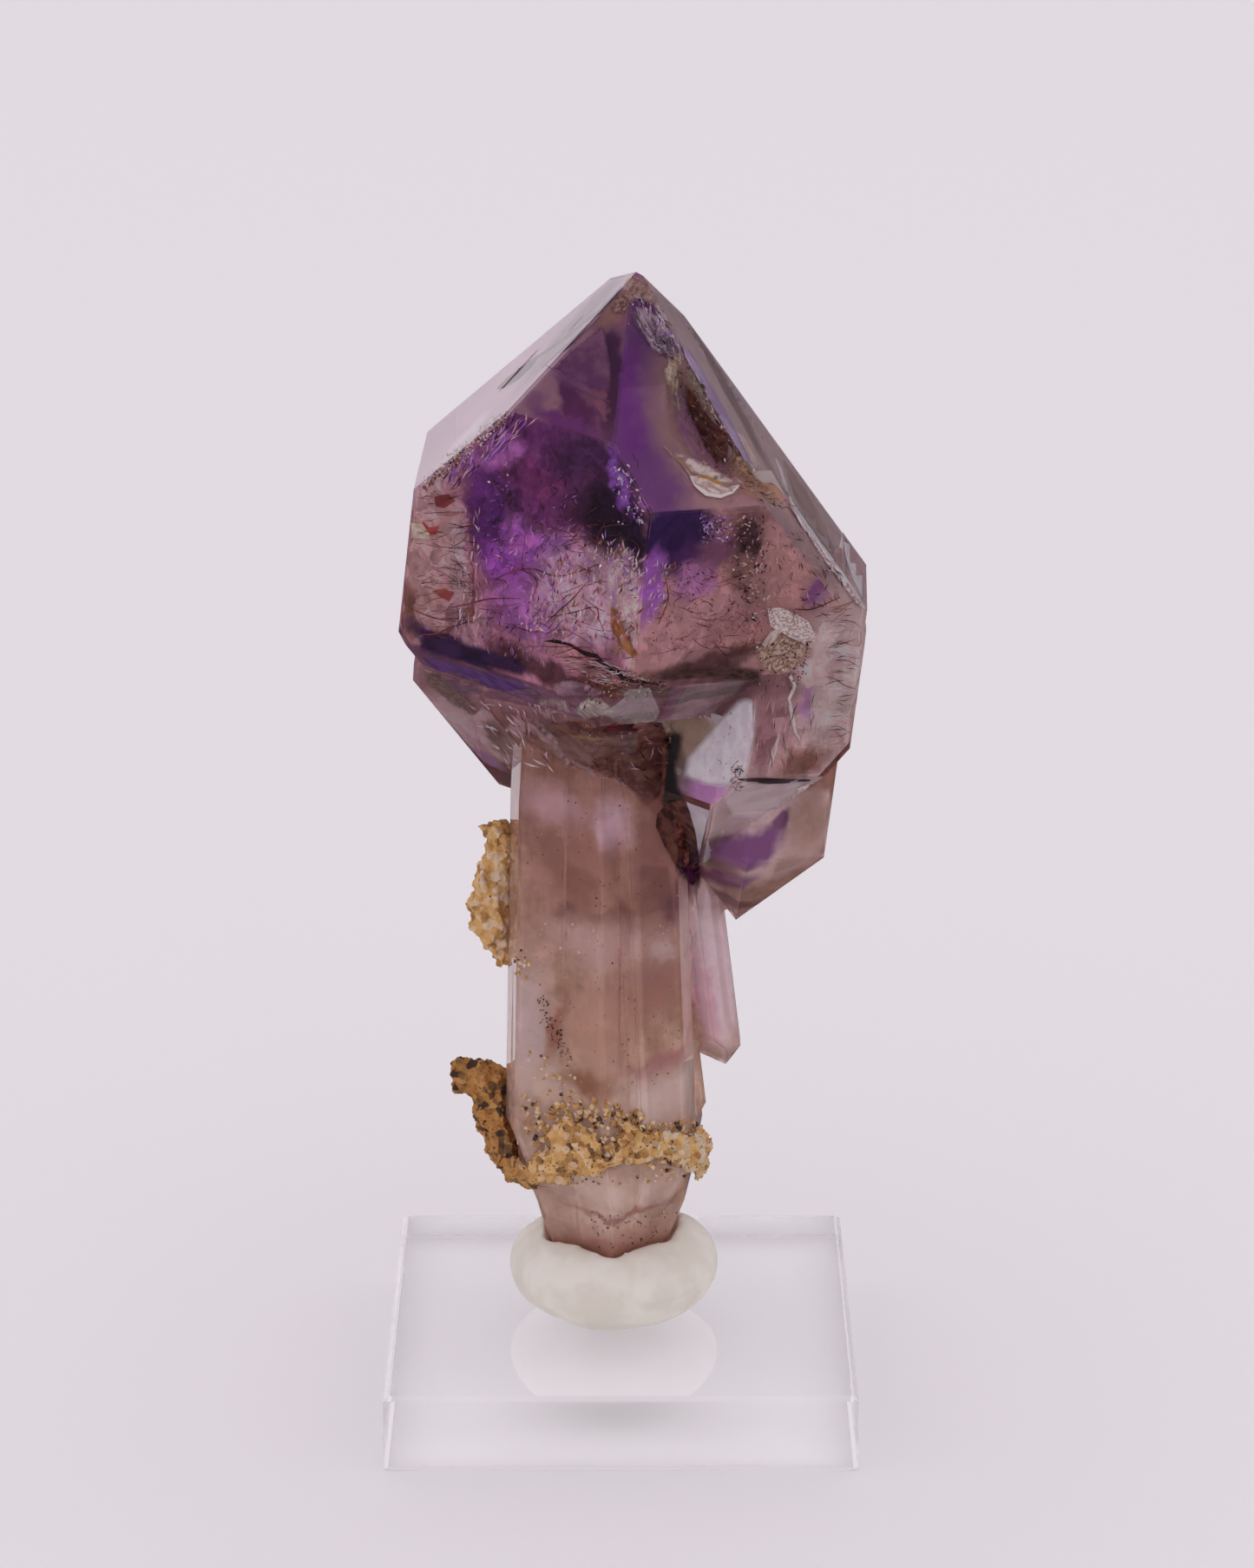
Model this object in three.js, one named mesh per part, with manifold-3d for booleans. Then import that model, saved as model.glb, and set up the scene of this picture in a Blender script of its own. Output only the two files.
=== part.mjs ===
// An amethyst scepter: a wide faceted quartz head that grew over the end of a slender quartz
// stem, with smaller crystals round it and rusty matrix on the stem. It stands in a bead of
// putty on a clear acrylic block.
//
// Lengths are in millimetres and angles in degrees. +Z is up, +X is to the right and +Y points
// away from the front. The origin is the middle of the block's underside.

import * as THREE from "three";
import { ConvexGeometry } from "three/addons/geometries/ConvexGeometry.js";
import { mergeVertices } from "three/addons/utils/BufferGeometryUtils.js";
import Module from "manifold-3d";

const wasm = await Module();
wasm.setup();

const rad = THREE.MathUtils.degToRad;
const vec = (list) => new THREE.Vector3(...list);

// The acrylic block: a square plate with polished, slightly broken edges.
const BLOCK_SIDE = 38;
const BLOCK_THICKNESS = 6.5;
const BLOCK_EDGE = 0.35;

// The bead of putty, pressed flat on the block and up round the stem's broken end.
const PUTTY_WIDTH = 17.4;
const PUTTY_HEIGHT = 8.6;
const PUTTY_CENTRE = [-0.65, -1.2];
const PUTTY_FOOT = rad(-58); // where the flat bottom cuts the bead's round section

// The scepter. Every crystal in it but the side spear shares the head's crystal axis.
const HEAD_CENTRE = [0, 2, 70];
const HEAD_LEAN = 6.7; // to the right
const HEAD_NOD = 4.2; // towards the front
const HEAD_TURN = -1.6; // about its own axis
const STEM_FOOT_Z = 10.2;
const STEM_TOP_Z = 66;

const FLUTE_UNEVENNESS = 0.07; // of a stem shaft's six edges, as a share of its reach

// Each block of broken rock in the matrix has this many corners, spread over a ball by the
// turn that keeps them evenly apart.
const ROCK_CORNERS = 18;
const SPREAD_TURN = 2.4;

// The gap that putty and matrix keep to the scepter, so that the solids don't touch.
const CLEARANCE = 0.3;

// The angle between a quartz crystal's axis and the normal of one of its point faces.
const POINT_TILT = 51.8;

// A quartz crystal's six sides, in the order of every list of face distances below: left,
// front left, front right, right, back right and back left.
const SIDE_TURNS = [-90, -30, 30, 90, 150, -150];
const LEFT = 0;
const FRONT_RIGHT = 2;
const RIGHT = 3;
const BACK_RIGHT = 4;
const BACK_LEFT = 5;

// Turns a geometry into an exact solid for joining and cutting.
function solid(geometry) {
  const bare = new THREE.BufferGeometry();
  bare.setAttribute("position", geometry.getAttribute("position"));
  if (geometry.index) bare.setIndex(geometry.index);
  const merged = mergeVertices(bare, 1e-4);
  const mesh = new wasm.Mesh({
    numProp: 3,
    vertProperties: new Float32Array(merged.getAttribute("position").array),
    triVerts: new Uint32Array(merged.index.array),
  });
  return new wasm.Manifold(mesh);
}

// Turns an exact solid back into a flat-shaded geometry.
function geometryOf(body) {
  const mesh = body.getMesh();
  const geometry = new THREE.BufferGeometry();
  const places = new THREE.BufferAttribute(mesh.vertProperties, mesh.numProp);
  geometry.setAttribute("position", places);
  geometry.setIndex(new THREE.BufferAttribute(mesh.triVerts, 1));
  const flat = geometry.toNonIndexed();
  flat.computeVertexNormals();
  return flat;
}

const joined = (bodies) => bodies.reduce((all, body) => all.add(body));
const cutBy = (body, tools) => tools.reduce((left, tool) => left.subtract(tool), body);

// The solid inside a set of flat faces, each a normal and its distance from the centre: every
// corner where three faces meet and that no other face cuts off.
function solidInside(faces, centre) {
  const corners = [];
  const step = new THREE.Vector3();
  for (let i = 0; i < faces.length; i++) {
    for (let j = i + 1; j < faces.length; j++) {
      for (let k = j + 1; k < faces.length; k++) {
        const [a, b, c] = [faces[i], faces[j], faces[k]];
        const volume = a.normal.dot(step.crossVectors(b.normal, c.normal));
        if (Math.abs(volume) < 1e-6) continue;
        const corner = new THREE.Vector3()
          .addScaledVector(step.crossVectors(b.normal, c.normal), a.reach / volume)
          .addScaledVector(step.crossVectors(c.normal, a.normal), b.reach / volume)
          .addScaledVector(step.crossVectors(a.normal, b.normal), c.reach / volume);
        const kept = faces.every((face) => face.normal.dot(corner) < face.reach + 1e-5);
        const fresh = corners.every((other) => other.distanceTo(corner) > 1e-3);
        if (kept && fresh) corners.push(corner);
      }
    }
  }
  return solid(new ConvexGeometry(corners.map((corner) => corner.add(vec(centre)))));
}

// The rotation of a crystal whose axis leans right, nods forwards and is turned about itself.
function crystalFrame({ lean = HEAD_LEAN, nod = HEAD_NOD, turn = HEAD_TURN } = {}) {
  const frame = new THREE.Matrix4().makeRotationY(rad(lean));
  frame.multiply(new THREE.Matrix4().makeRotationX(rad(nod)));
  return frame.multiply(new THREE.Matrix4().makeRotationZ(rad(turn)));
}

// The face normal of one side at a tilt from the axis: 90 for a side, less for a point face.
function faceNormal(frame, side, tilt) {
  const around = rad(SIDE_TURNS[side]);
  const out = Math.sin(rad(tilt));
  const normal = vec([Math.sin(around) * out, -Math.cos(around) * out, Math.cos(rad(tilt))]);
  return normal.transformDirection(frame);
}

// A quartz crystal. sides, top and foot each hold six distances from the centre, one for each
// side face, upper point face and lower point face. base, if given, cuts it off square below,
// and each of broken is the flat break that took a corner away.
function quartz({ centre, sides, top, foot, base, broken = [], ...attitude }) {
  const frame = crystalFrame(attitude);
  const faces = [];
  for (let side = 0; side < SIDE_TURNS.length; side++) {
    faces.push({ normal: faceNormal(frame, side, 90), reach: sides[side] });
    faces.push({ normal: faceNormal(frame, side, POINT_TILT), reach: top[side] });
    faces.push({ normal: faceNormal(frame, side, 180 - POINT_TILT), reach: foot[side] });
  }
  if (base) faces.push({ normal: faceNormal(frame, 0, 180), reach: base });
  for (const { facing, reach } of broken) {
    faces.push({ normal: vec(facing).normalize(), reach });
  }
  return solidInside(faces, centre);
}

const same = (distance) => SIDE_TURNS.map(() => distance);

// The head: wide sides, a point whose large and small faces take turns, a bevelled rim below,
// and a tip that is broken off to the back.
const TIP_BREAK = { facing: [0.42, 0.38, 0.83], reach: 17.7 };
const HEAD_FACES = {
  centre: HEAD_CENTRE,
  sides: [16.65, 17.1, 18.9, 19.5, 15.4, 13.4],
  top: [17.6, 23.1, 21.8, 15.4, 12.5, 14.1],
  foot: [15.9, 16.8, 16.7, 22, 14.6, 14.2],
  base: 7.4,
  broken: [TIP_BREAK],
};

// The same crystal but for some faces, each moved to a distance of its own.
function headWith({ sides = {}, top = {} }) {
  const moved = (distances, changes) => distances.map((reach, side) => changes[side] ?? reach);
  return quartz({
    ...HEAD_FACES,
    sides: moved(HEAD_FACES.sides, sides),
    top: moved(HEAD_FACES.top, top),
  });
}

// Two thin plates stand proud of the right point face, one along its front edge and a shorter
// one along its right edge.
const RAISED_REACH = 16.65;
const head = joined([
  headWith({}),
  headWith({ sides: { [BACK_LEFT]: -17.1 }, top: { [RIGHT]: RAISED_REACH } }),
  headWith({ sides: { [LEFT]: -17.2 }, top: { [RIGHT]: RAISED_REACH, [BACK_RIGHT]: 9.1 } }),
]);

// Crystals side by side with the head that end in points below it. Each is placed by the tip
// of its lower point, and its top is lost in the head.
const pendants = [
  {
    tip: [6.3, 0, 43.1],
    sides: [3.9, 8.8, 11, 10.2, 4, 5],
    foot: [0, 0, 0, -2.0, 0, 0],
    top: [20, 22, 24, 24, 17, 17],
  },
  { tip: [9.4, 1.5, 39.75], sides: [3.6, 6.3, 6.3, 6.2, 4.5, 4], foot: same(0) },
  { tip: [-8.6, 5.6, 48.3], sides: [9.3, 13, 8, 5, 5, 6.4], foot: same(0), base: -2 },
  { tip: [7.6, 10.4, 52.5], sides: [6, 7, 7, 8.4, 5, 6], foot: same(0), top: same(11) },
  { tip: [-2.6, 10.8, 55.4], sides: [7, 6, 6, 6, 5.4, 5], foot: same(0), top: same(10) },
].map(({ tip, top = same(17), ...faces }) => quartz({ centre: tip, top, ...faces }));

// The hidden join of head and stem, a six-sided funnel that the stem widens into.
const neck = quartz({
  centre: [-1.2, 0, 62],
  sides: [9.4, 10.6, 10.4, 9.2, 8.4, 9],
  top: same(11),
  foot: [8.6, 9.4, 9.2, 9, 8.6, 8.8],
});

// One six-sided length of the stem between two levels, each with its centre, reach and height.
function shaftLength(low, high, turn) {
  const corners = [low, high].flatMap(({ x, y, z, reach }) =>
    SIDE_TURNS.map((side, index) => {
      const around = rad(side + 30 + turn);
      const out = reach * (1 + FLUTE_UNEVENNESS * Math.sin(index * SPREAD_TURN + turn));
      return vec([x + Math.sin(around) * out, y - Math.cos(around) * out, z]);
    }),
  );
  return solid(new ConvexGeometry(corners));
}

// A shaft of the stem: lengths stacked end to end through its levels, from the bottom up.
function shaft(levels, turn = 0) {
  const lengths = levels
    .slice(1)
    .map((high, index) => shaftLength(levels[index], high, turn));
  return joined(lengths);
}

// The stem is a bundle of shafts that grew side by side, so its sides are fluted. The widest
// runs the whole way and narrows at its broken foot.
const stem = joined([
  shaft([
    { x: -0.9, y: -0.8, z: STEM_FOOT_Z, reach: 3.2 },
    { x: -0.9, y: -0.6, z: 13, reach: 5.6 },
    { x: -0.6, y: -0.3, z: 17.2, reach: 7.2 },
    { x: -1.0, y: 0, z: 21.5, reach: 8.5 },
    { x: -1.5, y: 0, z: 30, reach: 8.6 },
    { x: -1.6, y: 0, z: 44, reach: 8.0 },
    { x: -1.2, y: 0, z: STEM_TOP_Z, reach: 7.6 },
  ]),
  shaft(
    [
      { x: -4.8, y: -3.4, z: 19, reach: 2.6 },
      { x: -5.5, y: -3.3, z: 24, reach: 4.0 },
      { x: -5.0, y: -3.0, z: 52, reach: 3.9 },
      { x: -4.6, y: -2.6, z: 62, reach: 3.7 },
    ],
    9,
  ),
  shaft(
    [
      { x: 1.6, y: -3.4, z: 16.2, reach: 2.4 },
      { x: 2.3, y: -3.8, z: 21, reach: 4.2 },
      { x: 1.6, y: -3.7, z: 40, reach: 4.2 },
      { x: 0.6, y: -3.2, z: 63, reach: 4.6 },
    ],
    -7,
  ),
  shaft(
    [
      { x: 2.0, y: 2.2, z: 19.5, reach: 3.0 },
      { x: 2.9, y: 2.2, z: 24, reach: 4.3 },
      { x: 2.3, y: 2.6, z: 29, reach: 4.3 },
      { x: 1.9, y: 2.8, z: 60, reach: 4.1 },
    ],
    14,
  ),
  shaft(
    [
      { x: -4.0, y: 3.4, z: 21, reach: 3.0 },
      { x: -5.0, y: 3.0, z: 28, reach: 4.5 },
      { x: -4.2, y: 3.0, z: 60, reach: 4.4 },
    ],
    -12,
  ),
]);

// The spear: a slender crystal with a point below, growing down along the stem's right side.
const spear = quartz({
  centre: [7.0, 2.6, 36],
  lean: -6.9,
  nod: 0,
  turn: 0,
  sides: [2.2, 2.1, 1.9, 1.95, 2.2, 2.2],
  top: same(16),
  foot: [6.9, 5.6, 6.1, 6.2, 6.1, 5.6],
});

// A lens-shaped tool for the shallow scoops that breakage leaves in a face. along is its long
// way, facing the face's normal, and size its half length, half width and half depth.
function dent({ at, along, facing, size, detail = 1 }) {
  const up = vec(facing).normalize();
  const across = up.clone().cross(vec(along)).normalize();
  const long = across.clone().cross(up);
  const shape = new THREE.IcosahedronGeometry(1, detail);
  shape.scale(...size);
  shape.applyMatrix4(new THREE.Matrix4().makeBasis(long, across, up));
  shape.translate(...at);
  return solid(shape);
}

// The hollow that a lost splinter left in the front right point face, close to its right edge:
// a ring of places on the face, and the three lowest places of its floor.
const HOLLOW_RING = [
  [3.3, -11.8, 89.8],
  [2.9, -14.8, 85.7],
  [3.2, -15.6, 84.2],
  [6.0, -14.8, 83.1],
  [8.8, -14.7, 81.0],
  [9.8, -13.6, 81.6],
  [8.2, -12.8, 84.3],
  [6.9, -12.2, 86.1],
  [5.4, -11.5, 88.3],
  [4.5, -11.1, 89.8],
];
const HOLLOW_FLOOR = [
  [4.3, -11.1, 86.8],
  [5.3, -11.1, 84.1],
  [7.0, -12.8, 80.9],
];
const headFrame = crystalFrame();
const pointFace = (side) => faceNormal(headFrame, side, POINT_TILT);

function hollow() {
  const outwards = pointFace(FRONT_RIGHT);
  const ring = HOLLOW_RING.map((place) => vec(place).addScaledVector(outwards, 0.8));
  return solid(new ConvexGeometry([...ring, ...HOLLOW_FLOOR.map(vec)]));
}

// Every other break: the shell-shaped chip below the hollow, the flakes off the tip, the nicks
// in the front rim and a chip off the lower right crystal. Two long shallow steps beside the
// left ridge are marks of growth.
const DOWN_EDGE = [0.72, -0.1, -0.68];
const LEFT_RIDGE = [0.68, 0.26, 0.69];
const RIM_LEFT_OF_CORNER = [1, -0.5, 0];
const RIM_RIGHT_OF_CORNER = [1, 0.5, 0];
const RIM_FACING = [-0.1, -0.9, -0.45];
const frontPoint = pointFace(FRONT_RIGHT);
const leftPoint = pointFace(LEFT);
const dents = [
  { at: [6.3, -15.5, 82], along: DOWN_EDGE, facing: frontPoint, size: [3.7, 1.7, 0.6], detail: 2 },
  { at: [2.3, -11.1, 91.7], along: DOWN_EDGE, facing: frontPoint, size: [1.9, 0.7, 0.4] },
  { at: [3.4, -10.9, 90.6], along: DOWN_EDGE, facing: frontPoint, size: [1.5, 0.6, 0.45] },
  { at: [1.2, -9.6, 94.4], along: DOWN_EDGE, facing: frontPoint, size: [1.1, 0.8, 0.35] },
  { at: [3, -8.4, 94.3], along: DOWN_EDGE, facing: TIP_BREAK.facing, size: [1.3, 0.9, 0.4] },
  { at: [-4, -15.9, 64], along: RIM_LEFT_OF_CORNER, facing: RIM_FACING, size: [2.2, 1.5, 0.7] },
  { at: [-0.9, -17.9, 64], along: RIM_LEFT_OF_CORNER, facing: RIM_FACING, size: [1.9, 1.3, 0.6] },
  { at: [1.2, -18.9, 64.8], along: RIM_RIGHT_OF_CORNER, facing: RIM_FACING, size: [1.6, 0.9, 0.4] },
  { at: [14.4, -8.5, 54.2], along: [1, 0.2, 0.6], facing: [0.3, -0.7, -0.6], size: [0.9, 0.4, 0.3] },
  { at: [-7.9, -3.3, 86.8], along: LEFT_RIDGE, facing: leftPoint, size: [2.4, 0.5, 0.15] },
  { at: [-3.4, -6.4, 91.1], along: LEFT_RIDGE, facing: leftPoint, size: [2.6, 0.3, 0.12] },
].map(dent);

const breakage = [hollow(), ...dents];

const scepter = cutBy(joined([head, ...pendants, neck, stem, spear]), breakage);

// A small seeded generator, so that every build gives the same lumps.
function seededRandom(seed) {
  let state = seed;
  return () => {
    state = (state * 1664525 + 1013904223) % 4294967296;
    return state / 4294967296;
  };
}

// One broken block of rock: corners thrown unevenly round a ball, and the hull round them.
function rockBlock(centre, size, random) {
  const turns = new THREE.Euler(random() * Math.PI, random() * Math.PI, random() * Math.PI);
  const corners = [];
  for (let index = 0; index < ROCK_CORNERS; index++) {
    const up = 1 - (2 * (index + 0.5)) / ROCK_CORNERS;
    const around = index * SPREAD_TURN + random() * 0.9;
    const out = Math.sqrt(1 - up * up);
    const corner = vec([Math.cos(around) * out, Math.sin(around) * out, up]);
    corner.multiplyScalar(size * (0.85 + 0.35 * random()));
    corners.push(corner.applyEuler(turns).add(vec(centre)));
  }
  return solid(new ConvexGeometry(corners));
}

// A lump of matrix: blocks of rock heaped along a path of [x, y, z, size] stops.
function matrixLump({ path, blocksPerStop, spread, seed }) {
  const random = seededRandom(seed);
  const jitter = () => (random() - 0.5) * 2 * spread;
  const heap = [];
  for (let stop = 1; stop < path.length; stop++) {
    for (let index = 0; index < blocksPerStop; index++) {
      const along = index / blocksPerStop;
      const [x, y, z, size] = path[stop].map((to, axis) => {
        const from = path[stop - 1][axis];
        return from + (to - from) * along;
      });
      heap.push(rockBlock([x + jitter(), y + jitter(), z + jitter()], size, random));
    }
  }
  return joined(heap);
}

// The upper lump clings to the stem's left side. The lower one starts as a thick slab there
// and thins to a crust that crosses the front of the stem to its right side.
const matrixLumps = {
  matrix_upper: {
    path: [
      [-9.7, 0.4, 47.8, 1.7],
      [-9.9, 0.3, 44.2, 2.0],
      [-10.5, 0.2, 41.4, 2.2],
      [-10.7, 0.2, 39.8, 2.0],
      [-9.6, 0.4, 37.2, 1.3],
      [-9.3, 0.4, 36.2, 1.1],
    ],
    blocksPerStop: 2,
    spread: 0.3,
    seed: 11,
  },
  matrix_lower: {
    path: [
      [-12.5, 0.0, 26.4, 1.8],
      [-10.8, -0.8, 26.2, 2.5],
      [-9.8, -1.6, 22.8, 2.3],
      [-8.3, -3.0, 20.0, 2.0],
      [-7.0, -5.3, 20.6, 1.7],
      [-5.2, -6.5, 21.8, 2.0],
      [-3.7, -6.6, 24.8, 2.4],
      [-1.6, -6.8, 23.4, 2.8],
      [0.4, -6.6, 24.2, 2.5],
      [2.6, -6.5, 23.4, 2.2],
      [4.6, -5.9, 23.0, 2.0],
      [5.7, -4.4, 22.4, 2.0],
      [5.9, -2.8, 21.4, 2.1],
      [5.8, -2.2, 20.0, 1.7],
    ],
    blocksPerStop: 2,
    spread: 0.3,
    seed: 29,
  },
};

// The room that a body needs in what is pressed against it: the body joined with copies of
// itself, each moved by the clearance in one of eight directions round it, up or down.
function grown(body, clearance) {
  const copies = [body];
  for (let turn = 0; turn < 360; turn += 45) {
    const move = [Math.cos(rad(turn)) * clearance, Math.sin(rad(turn)) * clearance, 0];
    copies.push(body.translate(move));
  }
  copies.push(body.translate([0, 0, -clearance]), body.translate([0, 0, clearance]));
  return joined(copies);
}

// The largest connected piece of a body, without the crumbs that a cut leaves.
function largestPiece(body) {
  return body.decompose().reduce((a, b) => (a.volume() > b.volume() ? a : b));
}

// The block: a square with its upright edges broken, raised with a narrow bevel all round.
function blockGeometry() {
  const half = BLOCK_SIDE / 2 - BLOCK_EDGE;
  const outline = new THREE.Shape([
    new THREE.Vector2(-half, -half),
    new THREE.Vector2(half, -half),
    new THREE.Vector2(half, half),
    new THREE.Vector2(-half, half),
  ]);
  const block = new THREE.ExtrudeGeometry(outline, {
    depth: BLOCK_THICKNESS - 2 * BLOCK_EDGE,
    bevelEnabled: true,
    bevelSize: BLOCK_EDGE,
    bevelThickness: BLOCK_EDGE,
    bevelSegments: 1,
  });
  return block.translate(0, 0, BLOCK_EDGE);
}

// The putty: a squashed bead with a flat bottom, uneven from the fingers that pressed it.
function puttyBead() {
  const points = [new THREE.Vector2(0, 0)];
  const steps = 14;
  const bottom = Math.sin(PUTTY_FOOT);
  for (let step = 0; step <= steps; step++) {
    const angle = PUTTY_FOOT + (step / steps) * (Math.PI / 2 - PUTTY_FOOT);
    const up = (Math.sin(angle) - bottom) / (1 - bottom);
    const out = step === steps ? 0 : Math.cos(angle);
    points.push(new THREE.Vector2((out * PUTTY_WIDTH) / 2, up * PUTTY_HEIGHT));
  }
  const bead = new THREE.LatheGeometry(points, 40);
  bead.rotateX(Math.PI / 2);
  const places = bead.getAttribute("position");
  for (let index = 0; index < places.count; index++) {
    const x = places.getX(index);
    const y = places.getY(index);
    const z = places.getZ(index);
    const around = Math.atan2(y, x);
    const raised = z / PUTTY_HEIGHT;
    const push = 1 + 0.03 * raised * (Math.sin(3 * around + 0.6) + 0.6 * Math.sin(5 * around));
    const lift = 1 + 0.05 * raised * Math.cos(2 * around - 0.4);
    places.setXYZ(index, x * push, y * push, z * lift);
  }
  bead.translate(...PUTTY_CENTRE, BLOCK_THICKNESS);
  return solid(bead);
}

const room = grown(scepter, CLEARANCE);
const putty = largestPiece(puttyBead().subtract(room));

const finishes = {
  quartz: { color: 0xb79aa8, roughness: 0.05, metalness: 0, transparent: true, opacity: 0.8 },
  matrix: { color: 0xa5773c, roughness: 0.95, metalness: 0 },
  putty: { color: 0xd9d3c4, roughness: 0.7, metalness: 0 },
  acrylic: { color: 0xe9e6ea, roughness: 0.03, metalness: 0, transparent: true, opacity: 0.35 },
};

function named(name, geometry, finish) {
  const mesh = new THREE.Mesh(geometry, new THREE.MeshStandardMaterial(finishes[finish]));
  mesh.name = name;
  return mesh;
}

const specimen = new THREE.Group();
specimen.add(named("acrylic_block", blockGeometry(), "acrylic"));
specimen.add(named("putty", geometryOf(putty), "putty"));
specimen.add(named("scepter", geometryOf(scepter), "quartz"));

for (const [name, lump] of Object.entries(matrixLumps)) {
  const rock = largestPiece(matrixLump(lump).subtract(room));
  specimen.add(named(name, geometryOf(rock), "matrix"));
}

export default specimen;
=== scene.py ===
# %% [markdown]
# # An amethyst scepter on a clear block
#
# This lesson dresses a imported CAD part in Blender. The part is a quartz scepter: a wide
# faceted head that grew over the end of a slender stem, with rusty matrix on the stem,
# stuck upright in a bead of putty on a clear square block. The CAD gives every shape its
# place. Here it gets glass, colour inside the glass, and the grain of the other pieces.

# %% Load the frame and keep the CAD box
import math
import random

import bpy
from mathutils import Matrix, Vector, noise
from mathutils.bvhtree import BVHTree
from mathutils.geometry import delaunay_2d_cdt, intersect_point_line


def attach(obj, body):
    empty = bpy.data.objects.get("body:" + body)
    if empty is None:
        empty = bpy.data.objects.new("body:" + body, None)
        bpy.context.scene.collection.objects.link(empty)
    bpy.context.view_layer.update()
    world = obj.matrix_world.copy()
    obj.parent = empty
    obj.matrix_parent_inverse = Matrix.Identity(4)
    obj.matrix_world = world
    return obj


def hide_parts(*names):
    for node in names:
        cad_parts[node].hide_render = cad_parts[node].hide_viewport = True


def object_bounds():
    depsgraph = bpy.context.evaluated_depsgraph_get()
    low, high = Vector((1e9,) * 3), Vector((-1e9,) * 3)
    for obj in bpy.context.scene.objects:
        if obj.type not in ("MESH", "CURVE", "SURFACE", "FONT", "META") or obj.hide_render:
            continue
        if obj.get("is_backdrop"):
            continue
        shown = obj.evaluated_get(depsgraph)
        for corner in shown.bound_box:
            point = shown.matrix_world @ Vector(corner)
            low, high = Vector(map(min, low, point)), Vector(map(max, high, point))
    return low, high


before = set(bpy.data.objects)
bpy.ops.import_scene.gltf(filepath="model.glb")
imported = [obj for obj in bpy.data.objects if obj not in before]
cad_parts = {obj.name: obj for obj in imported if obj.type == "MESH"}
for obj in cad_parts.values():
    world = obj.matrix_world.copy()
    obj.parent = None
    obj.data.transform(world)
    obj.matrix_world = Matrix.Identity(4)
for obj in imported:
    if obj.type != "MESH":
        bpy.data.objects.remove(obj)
cad_low, cad_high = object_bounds()
scene = bpy.context.scene
print("CAD box in mm", [round(side * 1000, 1) for side in cad_high - cad_low])

MM = 0.001
BODY = "root"

# %% [markdown]
# ## The camera
#
# The four top corners of the clear block gave the camera when the part was measured. A long
# lens looks down a little, so the head is seen almost square on and the block's top opens up.
# It could be set by eye, but a camera worked out from real corners makes every later step
# simpler, because a point of the photograph can be turned into a ray.

# %% Set the camera from the measured view
PHOTO_WIDTH = 1445
PHOTO_HEIGHT = 1807
FOCAL_PX = 5824
SENSOR_MM = 36
PITCH_DOWN = math.radians(17.7)
CAMERA_PLACE = Vector((0.5, -388.6, 175.9)) * MM

camera_data = bpy.data.cameras.new("photo_camera")
camera_data.sensor_width = SENSOR_MM
camera_data.lens = SENSOR_MM * FOCAL_PX / PHOTO_HEIGHT
camera_data.clip_start = 0.01
camera = bpy.data.objects.new("photo_camera", camera_data)
camera.location = CAMERA_PLACE
camera.rotation_euler = (math.pi / 2 - PITCH_DOWN, 0, 0)
scene.collection.objects.link(camera)
scene.camera = camera
print("lens in mm", round(camera_data.lens, 1))

# %% [markdown]
# ## Floor, light and render settings
#
# The stone was shot in soft light that comes from nearly everywhere, on a pale lilac ground
# with no horizon. A big pale plane fills the frame, and the light that tints it is the world
# itself, like the inside of a white tent. Area lamps would do too, but the glass would show
# them as hard bright squares.

# %% Helpers that build shader nodes
def node(tree, kind, inputs=None, **settings):
    """Adds a shader node. An input may be a plain value or another node's output socket."""
    made = tree.nodes.new("ShaderNode" + kind)
    for name, value in settings.items():
        setattr(made, name, value)
    for name, value in (inputs or {}).items():
        if isinstance(value, bpy.types.NodeSocket):
            tree.links.new(value, made.inputs[name])
        else:
            made.inputs[name].default_value = value
    return made


def material_with(name, **values):
    """A new material of one Principled shader with these plain values."""
    material = bpy.data.materials.new(name)
    material.use_nodes = True
    tree = material.node_tree
    tree.nodes.clear()
    inputs = {key.replace("_", " "): value for key, value in values.items()}
    shader = node(tree, "BsdfPrincipled", inputs)
    node(tree, "OutputMaterial", {"Surface": shader.outputs["BSDF"]}, name="Output")
    return material, tree, shader


def ramp(tree, factor, stops):
    """A colour ramp whose stops are (position, (r, g, b)) pairs."""
    made = node(tree, "ValToRGB", {"Fac": factor})
    elements = made.color_ramp.elements
    while len(elements) < len(stops):
        elements.new(0.5)
    for element, (position, colour) in zip(elements, stops):
        element.position = position
        element.color = (*colour, 1)
    return made.outputs["Color"]


# %% Helpers that do sums with numbers, places and colours
def maths(tree, operation, first, second=0.0, third=0.0, **settings):
    """One Math node."""
    made = node(tree, "Math", {0: first, 1: second, 2: third}, operation=operation, **settings)
    return made.outputs["Value"]


def vector_maths(tree, operation, *inputs, result="Vector"):
    """One Vector Math node, with its inputs in their order."""
    made = node(tree, "VectorMath", dict(enumerate(inputs)), operation=operation)
    return made.outputs[result]


def limits(tree, value, low, high):
    """0 below low, 1 above high, smooth between."""
    made = node(tree, "MapRange", {"Value": value, "From Min": low, "From Max": high},
                interpolation_type="SMOOTHSTEP")
    return made.outputs["Result"]


def mix(tree, factor, first, second, blend="MIX"):
    """Mixes two colours."""
    made = node(tree, "Mix", {0: factor, 6: first, 7: second}, data_type="RGBA", blend_type=blend)
    return made.outputs[2]


def mix_value(tree, factor, first, second):
    """Mixes two numbers."""
    return node(tree, "Mix", {0: factor, 2: first, 3: second}).outputs[0]


def axis_of(tree, place, axis):
    """The X, Y or Z of a place."""
    return node(tree, "SeparateXYZ", {"Vector": place}).outputs[axis]


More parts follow.
